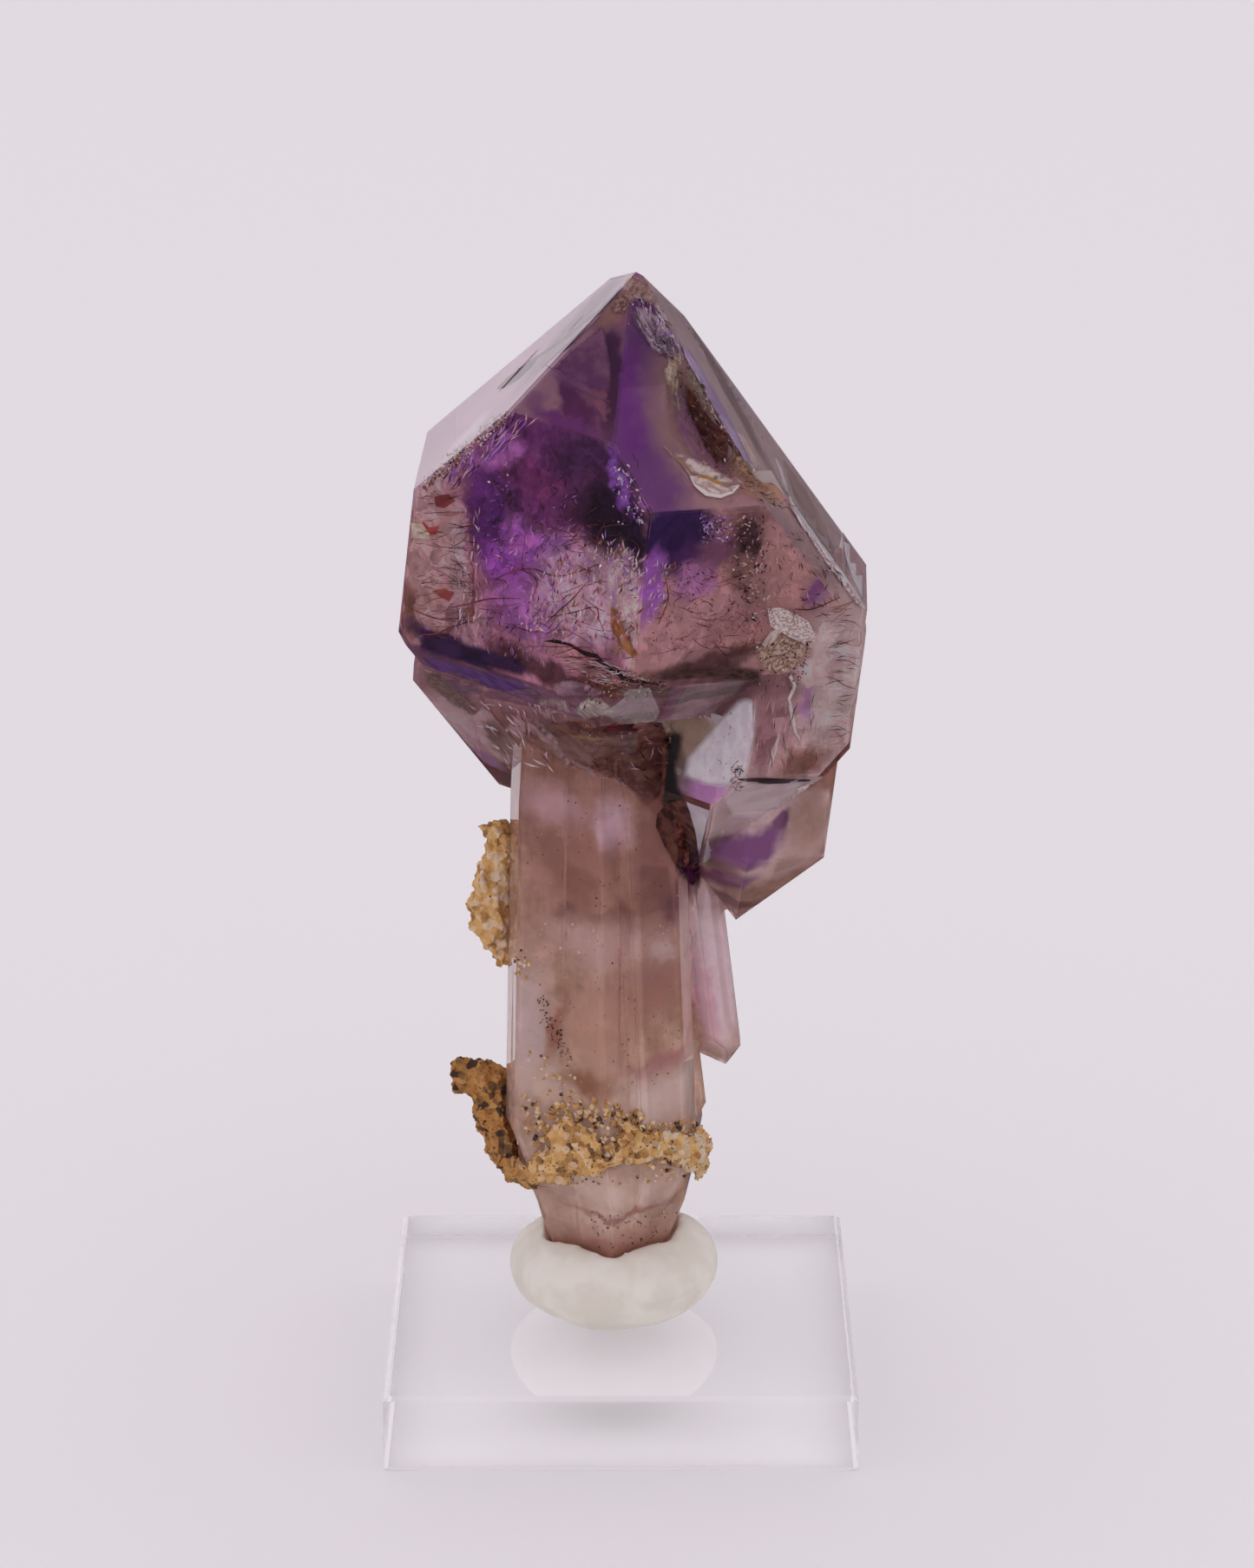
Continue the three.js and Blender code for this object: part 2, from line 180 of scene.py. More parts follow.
# %% Helpers for noise
def cloud(tree, place, scale, detail, result="Fac", **more):
    """Soft noise from 0 to 1, with this scale per unit of place."""
    made = node(tree, "TexNoise", {"Vector": place, "Scale": scale, "Detail": detail, **more})
    return made.outputs[result]


def cell_shade(tree, place, scale):
    """A random number for the small cell of space that a place lies in."""
    cells = node(tree, "TexVoronoi", {"Vector": place, "Scale": scale})
    return node(tree, "SeparateColor", {"Color": cells.outputs["Color"]}).outputs["Red"]


# %% Helpers for light that a face mirrors
def off_a_face(tree, depth_limit):
    """1 for a camera ray that was mirrored off the first face it met, and 0 otherwise."""
    rays = node(tree, "LightPath").outputs
    mirrored = maths(tree, "SUBTRACT", rays["Is Glossy Ray"], rays["Is Transmission Ray"],
                     use_clamp=True)
    early = maths(tree, "LESS_THAN", rays["Ray Depth"], depth_limit)
    return maths(tree, "MULTIPLY", mirrored, early)


# The depth of such a ray counts as 1 on a surface and as 2 in the world.
DEPTH_ON_SURFACE = 1.5
DEPTH_IN_WORLD = 2.5
CARD_SIDE = (-0.33, 0.94, 0.0)
CARD_FROM = 0.86
CARD_TO = 0.97


def toward_card(tree, direction):
    """1 for a direction toward the bright card behind the stone's left side, 0 for others."""
    unit = vector_maths(tree, "NORMALIZE", direction)
    nearness = vector_maths(tree, "DOT_PRODUCT", unit, CARD_SIDE, result="Value")
    return limits(tree, nearness, CARD_FROM, CARD_TO)


# %% The pale ground
GROUND_COLOUR = (0.96, 0.96, 0.96, 1)
GROUND_IN_GLOSS = (0.12, 0.11, 0.12, 1)
GROUND_SIZE = 60.0
GROUND_LEVEL = 0.05 * MM

half = GROUND_SIZE / 2
corners = [(-half, -half), (half, -half), (half, half), (-half, half)]
ground_mesh = bpy.data.meshes.new("ground")
ground_mesh.from_pydata([(x, y, GROUND_LEVEL) for x, y in corners], [], [(0, 1, 2, 3)])
ground = bpy.data.objects.new("ground", ground_mesh)
scene.collection.objects.link(ground)
ground_material, tree, shader = material_with("pale ground", Roughness=0.9)
place = node(tree, "TexCoord").outputs["Object"]
# The ground is painted dark where a ray mirrored off a face meets it, a painted dim reflection, but
# stays pale toward the bright card.
in_gloss = mix(tree, toward_card(tree, place), GROUND_IN_GLOSS, GROUND_COLOUR)
shown = mix(tree, off_a_face(tree, DEPTH_ON_SURFACE), GROUND_COLOUR, in_gloss)
tree.links.new(shown, shader.inputs["Base Color"])
ground.data.materials.append(ground_material)
ground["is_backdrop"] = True
print("the ground's side in m", GROUND_SIZE)

# %% [markdown]
# A photographer keeps dark cards round the lens, so that the faces turned to it don't mirror a
# white room and lose their colour, and lights the inside of a stone with lamps from above. Here
# the same is done without cards and lamps that other views would show. A ray mirrored off a
# face meets a dim room with one bright card behind the stone's left side, light that goes on to
# a surface inside glass is stronger, and all other light comes evenly from the whole tent.

# %% The light of a soft studio
TENT_COLOUR = (0.81, 0.756, 0.81, 1)
SEEN_COLOUR = (0.775, 0.722, 0.772, 1)
GLOSS_DIM_SHARE = 0.15
INSIDE_STRENGTH = 1.9

world = bpy.data.worlds.new("soft studio")
scene.world = world
world.use_nodes = True
sky = world.node_tree
sky.nodes.clear()
card = toward_card(sky, node(sky, "TexCoord").outputs["Generated"])
level = node(sky, "MapRange", {"Value": card, "To Min": GLOSS_DIM_SHARE, "To Max": 1.0})
whole = node(sky, "Background", {"Color": TENT_COLOUR})
inside = node(sky, "Background", {"Color": TENT_COLOUR, "Strength": INSIDE_STRENGTH})
mirrored = node(sky, "Background", {"Color": TENT_COLOUR, "Strength": level.outputs[0]})
seen = node(sky, "Background", {"Color": SEEN_COLOUR})
rays = node(sky, "LightPath").outputs
scattered = maths(sky, "GREATER_THAN", rays["Diffuse Depth"], 0.5)
lights_inside = maths(sky, "MULTIPLY", rays["Is Transmission Ray"], scattered)
light = whole.outputs[0]
for share, other in ((lights_inside, inside), (off_a_face(sky, DEPTH_IN_WORLD), mirrored),
                     (rays["Is Camera Ray"], seen)):
    light = node(sky, "MixShader", {0: share, 1: light, 2: other.outputs[0]}).outputs[0]
node(sky, "OutputWorld", {"Surface": light})
print("strength of the light inside the stone", INSIDE_STRENGTH)

# %% How often light may turn
BOUNCES = {"max_bounces": 48, "transmission_bounces": 48, "glossy_bounces": 12,
           "diffuse_bounces": 8, "transparent_max_bounces": 24}

scene.view_settings.view_transform = "Standard"
for kind, count in BOUNCES.items():
    setattr(scene.cycles, kind, count)
print("bounces", BOUNCES)

# %% [markdown]
# ## The clear block
#
# A square of polished acrylic. It's plain glass-like plastic: transmission, its own index of
# refraction, and the faintest violet-grey absorption, which only shows along its edges. A
# tinted face would be simpler, but it would look the same where the block is thick and thin.

# %% Clear acrylic
ACRYLIC_IOR = 1.49
ACRYLIC_TINT = (0.8, 0.78, 0.9, 1)
ACRYLIC_DENSITY = 2.0


def clear_solid(name, ior, tint, density):
    """A clear material with plain absorption inside, in strength per metre."""
    material, tree, shader = material_with(
        name, Base_Color=(1, 1, 1, 1), Roughness=0.0, IOR=ior, Transmission_Weight=1.0)
    volume = node(tree, "VolumeAbsorption", {"Color": tint, "Density": density})
    tree.links.new(volume.outputs["Volume"], tree.nodes["Output"].inputs["Volume"])
    return material


def dress(name, material):
    """Gives a CAD node one material in place of its own."""
    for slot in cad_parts[name].material_slots:
        slot.material = material


dress("acrylic_block", clear_solid("acrylic", ACRYLIC_IOR, ACRYLIC_TINT, ACRYLIC_DENSITY))
print("acrylic's index of refraction", ACRYLIC_IOR)

# %% [markdown]
# ## Quartz
#
# Quartz is clear, so its colour is in its depth, not on its face. The CAD solid stays as the
# outside of the crystal and takes plain glass: transmission, quartz's own index of refraction
# and a pale smoky absorption. Stronger absorption could make all of it purple, but not the
# crown alone, so the purple and the clouds follow in pieces inside it.

# %% The clear outside
QUARTZ_IOR = 1.544
QUARTZ_TINT = (0.72, 0.58, 0.60, 1)
QUARTZ_DENSITY = 16.0

dress("scepter", clear_solid("quartz", QUARTZ_IOR, QUARTZ_TINT, QUARTZ_DENSITY))
print("quartz's index of refraction", QUARTZ_IOR)

# %% [markdown]
# ## From a point of the photograph to a place in the stone
#
# Colour and inclusions lie a little under the crystal's faces. To put one where it is seen, a
# ray goes from the camera through a point of the photograph, meets the face, bends as light
# does in quartz, and goes on to the depth that is asked for. The result is a real place in the
# solid, so it also holds from any other side.

# %% Find places in the stone
CENTRE_PX = (PHOTO_WIDTH / 2, PHOTO_HEIGHT / 2)
PX_PER_MM = 14.2
TIP_PX = (731, 322)
RIGHT = Vector((1, 0, 0))
AHEAD = Vector((0, math.cos(PITCH_DOWN), -math.sin(PITCH_DOWN)))
DOWN = Vector((0, -math.sin(PITCH_DOWN), -math.cos(PITCH_DOWN)))


def tree_of(name):
    """A search tree of a CAD node's faces."""
    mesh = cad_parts[name].data
    places = [vertex.co.copy() for vertex in mesh.vertices]
    return BVHTree.FromPolygons(places, [tuple(face.vertices) for face in mesh.polygons])


stone = tree_of("scepter")


def photo_ray(px, py):
    """The direction from the camera through a point of the photograph."""
    across = (px - CENTRE_PX[0]) / FOCAL_PX
    below = (py - CENTRE_PX[1]) / FOCAL_PX
    return (AHEAD + RIGHT * across + DOWN * below).normalized()


def on_stone(px, py):
    """The place and the outward normal of the stone's surface at a point of the photograph."""
    place, normal, _, _ = stone.ray_cast(CAMERA_PLACE, photo_ray(px, py))
    return place, normal


def under(px, py, depth):
    """A place at this depth in metres behind the surface, along the bent ray, if it's on it."""
    place, normal = on_stone(px, py)
    if place is None:
        return None
    ray = photo_ray(px, py)
    cosine = -ray.dot(normal)
    bent = math.sqrt(1 - (1 - cosine * cosine) / QUARTZ_IOR ** 2)
    inward = ray / QUARTZ_IOR + normal * (cosine / QUARTZ_IOR - bent)
    return place + inward.normalized() * depth


print("the tip is at", [round(value / MM, 1) for value in on_stone(*TIP_PX)[0]])

# %% [markdown]
# ## The inner body
#
# Just under its clean faces this quartz is full of colour and cloud. A second closed surface,
# a little inside the first, stands for where they begin. It could be a painted skin, but paint
# looks like plastic. Here most of the light goes through it, tinted, and the rest is scattered,
# so it looks deep. Its shape is the stone's own, remeshed evenly and moved inward.

# %% Make the inner body
INNER_VOXEL = 0.45 * MM
INNER_DEPTH_MM = 0.4
INNER_DEPTH = INNER_DEPTH_MM * MM
INNER_PASSES = 2


def evaluated_copy(source, name, *modifiers):
    """A new object whose mesh is the source's with these modifiers applied."""
    work = bpy.data.objects.new(name, source.data.copy())
    scene.collection.objects.link(work)
    for kind, settings in modifiers:
        modifier = work.modifiers.new(kind, kind)
        for key, value in settings.items():
            setattr(modifier, key, value)
    graph = bpy.context.evaluated_depsgraph_get()
    mesh = bpy.data.meshes.new_from_object(work.evaluated_get(graph))
    work.modifiers.clear()
    work.data = mesh
    mesh.materials.clear()
    return work


def press(mesh, depth_at):
    """Moves each vertex inward along its normal, by a depth in mm found from its place in mm."""
    normals = [vertex.normal.copy() for vertex in mesh.vertices]
    for vertex, normal in zip(mesh.vertices, normals):
        vertex.co -= normal * (depth_at(vertex.co / MM) * MM)


def keep_inside(mesh, search, depth):
    """Moves each vertex that is nearer the surface than this depth straight inward."""
    for vertex in mesh.vertices:
        place, normal, _, _ = search.find_nearest(vertex.co)
        if (vertex.co - place).dot(normal) > -depth:
            vertex.co = place - normal * depth


remesh = ("REMESH", {"mode": "VOXEL", "voxel_size": INNER_VOXEL})
inner = evaluated_copy(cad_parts["scepter"], "inner_body", remesh)
press(inner.data, lambda place: INNER_DEPTH_MM)
for _ in range(INNER_PASSES):
    keep_inside(inner.data, stone, INNER_DEPTH)
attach(inner, BODY)
print("inner body has", len(inner.data.polygons), "faces")

# %% [markdown]
# ## Shader groups for colour in the stone
#
# Effects that come back in many places are shader groups, each built once. "Patch" is a
# soft-edged spot with a place, a turn and a size. "Face height" and "face" tell how far a point
# lies under one flat crystal face, so that each face can show its own colours up to a sharp
# edge, as refraction makes them look. Painting by hand would be quicker for one view, but it
# wouldn't follow the shape.

# %% Make and use groups
def new_group(name, inputs, output, kind, build):
    """A node group with these named inputs, and one output that the function builds."""
    group = bpy.data.node_groups.new(name, "ShaderNodeTree")
    for socket, input_kind in inputs.items():
        group.interface.new_socket(socket, in_out="INPUT", socket_type="NodeSocket" + input_kind)
    group.interface.new_socket(output, in_out="OUTPUT", socket_type="NodeSocket" + kind)
    given = group.nodes.new("NodeGroupInput").outputs
    result = group.nodes.new("NodeGroupOutput").inputs
    group.links.new(build(group, given), result[output])
    return group


def use_group(tree, group, **values):
    """Places a group in a material, with its inputs set or linked, and gives its output."""
    made = tree.nodes.new("ShaderNodeGroup")
    made.node_tree = group
    for name, value in values.items():
        socket = made.inputs[name.replace("_", " ")]
        if isinstance(value, bpy.types.NodeSocket):
            tree.links.new(value, socket)
        else:
            socket.default_value = value
    return made.outputs[0]


def place_in_mm(tree):
    """Object coordinates scaled to millimetres."""
    place = node(tree, "TexCoord").outputs["Object"]
    scaled = node(tree, "VectorMath", {0: place, "Scale": 1 / MM}, operation="SCALE")
    return scaled.outputs["Vector"]


# %% The patch and face groups
FACE_EDGE = 0.12
FACE_NEAR = 0.9
FACE_FAR = 1.4


def patch_mask(tree, given):
    """1 inside a turned oval that is drawn out in depth, fading to 0 across its soft edge."""
    local = node(tree, "Mapping", {"Vector": given["Place"], "Location": given["Centre"],
                                   "Rotation": given["Turn"], "Scale": given["Size"]},
                 vector_type="TEXTURE")
    reach = vector_maths(tree, "LENGTH", local.outputs["Vector"], result="Value")
    rim = maths(tree, "MULTIPLY_ADD", given["Soft"], 0.5, 1.0)
    core = maths(tree, "MULTIPLY_ADD", given["Soft"], -0.5, 1.0)
    return limits(tree, reach, rim, core)


def face_height(tree, given):
    """How far a place lies above a flat face, in millimetres."""
    height = vector_maths(tree, "DOT_PRODUCT", given["Place"], given["Normal"], result="Value")
    return maths(tree, "SUBTRACT", height, given["Depth"])


def face_mask(tree, given):
    """1 where a face is the outermost of the crystal's faces and is near, 0 elsewhere."""
    lead = maths(tree, "SUBTRACT", given["Height"], given["Highest"])
    distance = maths(tree, "ABSOLUTE", given["Height"])
    return maths(tree, "MULTIPLY", limits(tree, lead, -FACE_EDGE, 0.0),
                 limits(tree, distance, FACE_FAR, FACE_NEAR))


patch_group = new_group(
    "patch", {"Place": "Vector", "Centre": "Vector", "Turn": "Vector", "Size": "Vector",
              "Soft": "Float"}, "Mask", "Float", patch_mask)
height_group = new_group(
    "face height", {"Place": "Vector", "Normal": "Vector", "Depth": "Float"},
    "Height", "Float", face_height)
face_group = new_group(
    "face", {"Height": "Float", "Highest": "Float"}, "Mask", "Float", face_mask)
print("groups", [group.name for group in bpy.data.node_groups])

# %% [markdown]
# ## Painting the inner body
#
# Colours are given as they look in the stone. Light that a surface inside quartz scatters is
# partly turned back by the face above it and scattered again, so a helper turns a wished look
# into the tint that gives it.

# %% Colours as they look
TURNED_BACK = 0.6
LIGHT_OUT = 0.578
INNER_TRANSMISSION = 0.4


def linear(value):
    """One sRGB value, 0 to 255, as linear light."""
    share = value / 255
    return share / 12.92 if share <= 0.04045 else ((share + 0.055) / 1.055) ** 2.4


def tint_under_glass(colour, through):
    """The tint that looks like this colour, for a surface that lets this share through."""
    tint = []
    for value in colour:
        wished = linear(value)
        scattered = wished / (LIGHT_OUT + TURNED_BACK * wished)
        tint.append(min(1.0, scattered / (1 - through)))
    return (*tint, 1)


def look(red, green, blue):
    """The tint of the inner body that looks like this colour."""
    return tint_under_glass((red, green, blue), INNER_TRANSMISSION)


print("the palest look is tinted", [round(value, 2) for value in look(190, 190, 190)[:3]])

# %% [markdown]
# Each flat face is found by a point on it. The faces meet in sharp edges, and each has a
# colour of its own, because a look through another face is a look into another part of the
# stone. Some faces look into clean quartz and others into a busy jumble of cracks and crumbs,
# so each face also says how busy it is.

# %% The faces of the head and of the small crystal below it
HEAD_FACES = {
    "upper left": ((600, 455), look(166, 140, 154), 0.0),
    "upper front left": ((660, 470), look(84, 46, 74), 0.15),
    "upper front right": ((735, 500), look(76, 42, 78), 0.1),
    "upper right": ((840, 465), look(136, 116, 114), 0.2),
    "front left": ((600, 650), look(156, 100, 118), 0.85),
    "front right": ((800, 700), look(154, 110, 104), 0.5),
    "lower front left": ((540, 785), look(98, 66, 82), 0.4),
    "lower front right": ((800, 806), look(100, 72, 74), 0.5),
}
SMALL_FACES = {
    # The window's pale tint is painted light: it stands for light coming through the clear crystal
    # from behind.
    "window": ((825, 870), look(214, 190, 200), 0.25),
    "small right": ((893, 880), look(186, 146, 144), 0.5),
    "small lower left": ((795, 975), look(80, 44, 40), 0.3),
    "small lower right": ((870, 925), look(198, 166, 164), 0.15),
}


def face_masks(tree, place, faces):
    """For each face of a crystal, 1 where a place lies under it and 0 elsewhere."""
    heights = {}
    for name, (point, _, _) in faces.items():
        spot, normal = on_stone(*point)
        depth = (spot.dot(normal) - INNER_DEPTH) / MM
        heights[name] = use_group(tree, height_group, Place=place, Normal=normal, Depth=depth)
    highest, *others = heights.values()
    for height in others:
        highest = maths(tree, "MAXIMUM", highest, height)
    return {name: use_group(tree, face_group, Height=height, Highest=highest)
            for name, height in heights.items()}


print(len(HEAD_FACES), "faces on the head and", len(SMALL_FACES), "below it")

# %% [markdown]
# The patches are listed as they're seen, under the face that they're seen through: what each
# is, where its middle is in the photograph, its half width and half height in the photograph's
# pixels, its turn in degrees, its colour, and how soft its edge is. Later ones cover earlier
# ones.

# %% Colour patches of the upper faces
NO_FACE = "any face"


def count_rows(groups):
    """How many patches the groups hold."""
    return sum(len(rows) for _, rows in groups)


UPPER_PATCHES = [
    ("upper left", [
        ("grey toward the tip", (662, 376), (92, 24), 38, (120, 98, 104), 1.0),
        ("lilac sheen", (530, 512), (44, 18), 40, (200, 180, 200), 1.0),
    ]),
    ("upper front left", [
        ("mauve along the ridge", (645, 430), (90, 13), 42, (120, 86, 96), 1.0),
        ("dark along the front edge", (703, 440), (17, 90), 4, (50, 28, 50), 0.9),
        ("bright mauve", (668, 432), (26, 12), 14, (106, 66, 104), 0.7),
        ("dark wedge", (664, 470), (34, 10), -30, (64, 32, 62), 0.6),
        ("reddish glint", (690, 463), (16, 4), -24, (104, 62, 80), 0.9),
        ("brown at the tip", (712, 342), (16, 26), -34, (118, 84, 76), 0.6),
        ("violet low down", (660, 500), (54, 9), -14, (82, 40, 88), 0.8),
    ]),
    ("upper front right", [
        ("dusky top", (738, 392), (18, 30), 0, (72, 44, 76), 0.9),
        ("violet middle", (738, 486), (25, 78), 4, (80, 36, 96), 1.0),
        ("purple low down", (765, 560), (48, 36), 0, (78, 46, 88), 1.0),
        ("lilac brown", (868, 566), (80, 30), -8, (128, 96, 96), 0.8),
        ("brown round the hollow", (816, 478), (84, 34), -60, (112, 86, 82), 0.6),
    ]),
    (NO_FACE, [
        ("brown ridge", (888, 560), (36, 6), -30, (138, 104, 88), 0.7),
    ]),
    ("upper right", [
        ("smoky brown", (842, 456), (100, 18), -57, (78, 58, 50), 0.9),
    ]),
]
print(count_rows(UPPER_PATCHES), "patches on the upper faces")

# %% Colour patches of the sides
SIDE_PATCHES = [
    ("front left", [
        ("upper purple", (618, 540), (104, 74), -8, (84, 42, 84), 0.6),
        ("plum", (686, 560), (52, 56), 0, (58, 32, 60), 0.6),
        ("night", (712, 614), (38, 50), 8, (22, 12, 28), 0.7),
        ("violet beside the night", (648, 642), (28, 20), 0, (116, 64, 138), 0.9),
        ("magenta under the ridge", (556, 520), (46, 16), 40, (146, 84, 142), 0.7),
        ("violet left", (562, 600), (24, 60), 6, (78, 38, 92), 0.8),
        ("wine red middle", (622, 556), (30, 24), 0, (96, 44, 84), 0.9),
        ("bright lobe", (600, 656), (36, 30), 10, (144, 68, 168), 0.8),
        ("upper lobe", (606, 630), (20, 22), 20, (168, 88, 196), 0.8),
        ("lower lobe", (606, 705), (40, 28), 0, (150, 88, 160), 0.9),
        ("clear left", (492, 640), (38, 120), 0, (186, 144, 136), 0.5),
        ("brown corner", (472, 706), (8, 30), 0, (106, 74, 62), 0.8),
        ("pale left streak", (530, 656), (9, 70), 2, (196, 164, 162), 0.9),
        ("pale low left", (540, 716), (26, 24), 0, (158, 118, 126), 0.9),
        ("pink middle", (672, 690), (56, 48), 0, (232, 156, 170), 0.9),
        ("cream by the edge", (722, 700), (14, 60), 6, (206, 172, 158), 0.8),
        ("violet band", (520, 750), (60, 15), -16, (50, 26, 66), 0.6),
        ("smoky band", (624, 772), (70, 14), -12, (60, 34, 40), 0.8),
        ("mauve below", (684, 772), (60, 12), -12, (146, 104, 104), 0.8),
        ("brown under the crack", (706, 798), (44, 8), 6, (84, 50, 40), 0.7),
        ("bright column", (713, 553), (7, 32), 14, (118, 70, 158), 0.8),
    ]),
    ("front right", [
        ("blue violet", (780, 618), (46, 40), 0, (26, 12, 46), 0.5),
        ("deep violet", (802, 646), (30, 22), 0, (44, 20, 62), 0.9),
        ("violet wedge", (752, 678), (11, 44), -6, (130, 70, 154), 0.8),
        ("dark column", (866, 644), (26, 66), 8, (76, 54, 54), 0.8),
        ("smoky right", (925, 650), (66, 44), -42, (170, 126, 118), 0.9),
        ("violet spot", (945, 683), (18, 16), 0, (112, 66, 120), 1.0),
    ]),
    (NO_FACE, [
        ("pink right", (960, 776), (40, 96), -6, (232, 172, 162), 0.8),
    ]),
    ("front right", [
        ("pinkish brown", (806, 722), (70, 38), 0, (156, 114, 112), 0.9),
        ("violet glow", (802, 670), (24, 22), 0, (134, 84, 130), 0.9),
        ("maroon beside it", (826, 634), (20, 18), 0, (80, 48, 66), 0.9),
        ("dark flecks", (864, 622), (14, 24), 20, (50, 36, 38), 0.6),
        ("dark band", (806, 768), (100, 12), 0, (70, 48, 43), 0.9),
        ("right column", (905, 842), (36, 52), 0, (176, 134, 134), 0.9),
        ("pale streak in the column", (890, 850), (6, 44), 8, (196, 168, 164), 0.8),
    ]),
]
print(count_rows(SIDE_PATCHES), "patches on the sides")

# %% Colour patches of the lower rim and the small crystals
LOWER_PATCHES = [
    ("lower front left", [
        ("purple rim", (545, 782), (66, 14), -16, (92, 56, 98), 0.8),
        ("violet rim", (600, 804), (40, 7), -12, (112, 74, 118), 0.8),
    ]),
    (NO_FACE, [
        ("brown rim", (812, 801), (60, 8), 0, (52, 36, 32), 0.8),
        # The next two patches are red-brown stain darkened by painted shade under the head's lip,
        # darkest just below the lip.
        ("red-brown neck in painted shade", (700, 864), (110, 26), -4, (92, 54, 48), 0.8),
        ("dark red stain in painted shade", (732, 828), (54, 13), 0, (56, 24, 24), 0.9),
        ("pale streak", (640, 860), (46, 8), -54, (170, 134, 138), 0.7),
        ("left crystal", (550, 842), (70, 50), -40, (176, 142, 146), 0.8),
        ("left brown", (578, 852), (14, 34), 10, (112, 84, 76), 0.9),
        ("left pale", (528, 818), (22, 16), -40, (208, 172, 170), 0.9),
        ("small crystal", (900, 985), (62, 44), 34, (198, 164, 160), 0.6),
        ("left olive", (580, 856), (16, 34), 10, (116, 96, 86), 0.9),
        ("left pale side", (534, 836), (34, 10), -40, (206, 172, 174), 0.9),
        ("left violet", (560, 874), (22, 8), -40, (142, 104, 142), 0.9),
    ]),
    ("window", [
        ("window's olive", (802, 850), (38, 18), 50, (146, 126, 106), 0.8),
        # Painted shade: the small crystal's side face next to the window, lying in shadow.
        ("painted shade beside the window", (790, 896), (13, 28), 0, (76, 66, 62), 0.8),
        ("window's violet", (818, 918), (28, 20), -10, (188, 126, 204), 0.9),
    ]),
    (NO_FACE, [
        ("purple foot", (798, 1006), (10, 20), 0, (56, 22, 46), 0.9),
        ("mauve light", (886, 924), (44, 15), 34, (208, 174, 178), 0.9),
        ("grey shade", (826, 984), (24, 40), 14, (82, 66, 64), 0.9),
        ("low crystal's brown", (934, 944), (24, 36), 0, (156, 128, 116), 0.9),
        ("low crystal's violet", (868, 984), (44, 24), 34, (96, 58, 106), 0.8),
        ("violet low left", (832, 1012), (30, 18), 38, (88, 54, 90), 0.9),
        ("tan lobe", (908, 996), (22, 11), 30, (172, 142, 130), 0.9),
        ("left dark blotch", (570, 846), (14, 24), -24, (88, 64, 62), 0.9),
        ("left pink blotch", (598, 836), (9, 24), -30, (184, 144, 144), 0.9),
        ("left mauve blotch", (532, 818), (22, 13), 40, (182, 150, 154), 0.9),
        ("violet corner", (898, 948), (17, 11), 40, (88, 58, 88), 0.8),
        ("dark tip", (840, 1038), (22, 15), -40, (94, 56, 54), 0.8),
        ("column's brown", (922, 880), (28, 19), 0, (104, 74, 64), 0.9),
        ("column's lilac", (928, 812), (9, 22), 4, (158, 114, 156), 0.9),
        ("column's shade", (879, 850), (12, 46), 4, (132, 96, 98), 0.8),
        ("spear", (826, 1120), (26, 96), 8, (206, 174, 178), 0.8),
        ("spear's mauve side", (812, 1150), (10, 60), 8, (178, 138, 150), 1.0),
    ]),
]
print(count_rows(LOWER_PATCHES), "patches lower down")

# %% Colour patches of the stem
STEM_SOFT = 1.5
STEM_PATCHES = [
    # The first three stem patches are painted light: a lavender highlight and a paler highlight on
    # the facet left of the stem's edge, and shade on the facet right of that edge.
    ("painted lavender highlight on the stem", (708, 950), (18, 26), 0, (196, 160, 176)),
    ("painted highlight on the left shoulder", (640, 930), (34, 20), -10, (170, 130, 136)),
    ("painted shade right of the edge", (762, 990), (34, 70), 0, (118, 80, 74)),
    ("brown middle", (664, 1000), (40, 44), 0, (130, 90, 80)),
    ("dark pocket", (654, 1056), (20, 12), 0, (98, 66, 58)),
    ("second dark pocket", (716, 1054), (24, 12), 0, (102, 70, 62)),
    ("third dark pocket", (774, 1046), (16, 18), 0, (104, 70, 72)),
    ("pale spots' glow", (700, 1092), (70, 24), 0, (168, 134, 128)),
    ("pale spot", (764, 1096), (12, 12), 0, (200, 170, 166)),
    ("mauve shade", (750, 1130), (36, 22), 0, (138, 102, 96)),
    ("brown glow", (722, 1156), (56, 26), 10, (142, 104, 92)),
    ("grey left side", (610, 1190), (24, 80), 0, (168, 150, 146)),
    ("rusty streak", (640, 1190), (6, 44), -18, (124, 80, 66)),
    ("warm middle", (690, 1200), (36, 40), 0, (158, 120, 102)),
    ("red tint", (764, 1226), (40, 10), 4, (142, 92, 92)),
    ("milky right", (764, 1264), (44, 30), 0, (192, 172, 162)),
    ("milky left", (640, 1250), (34, 26), 0, (182, 158, 142)),
    ("brown stain over the crust", (676, 1250), (24, 14), 0, (118, 78, 58)),
    ("pale foot", (720, 1372), (70, 20), 0, (188, 162, 146)),
    ("red line at the foot", (718, 1404), (58, 4), 0, (122, 76, 66)),
    ("brown end", (716, 1432), (46, 18), 0, (148, 104, 90)),
]
STEM_ROWS = [(*row, STEM_SOFT) for row in STEM_PATCHES]
PATCHES = UPPER_PATCHES + SIDE_PATCHES + LOWER_PATCHES + [(NO_FACE, STEM_ROWS)]
print(count_rows(PATCHES), "patches in all")

# %% [markdown]
# Where no face or patch says otherwise, the stem takes a milky colour that changes up its
# length, given by heights in millimetres, and the head is purple at its crown and mauve below.
# Both are groups, and so are the jumble of crumbs that breaks them up and the warp that makes
# every edge wander.

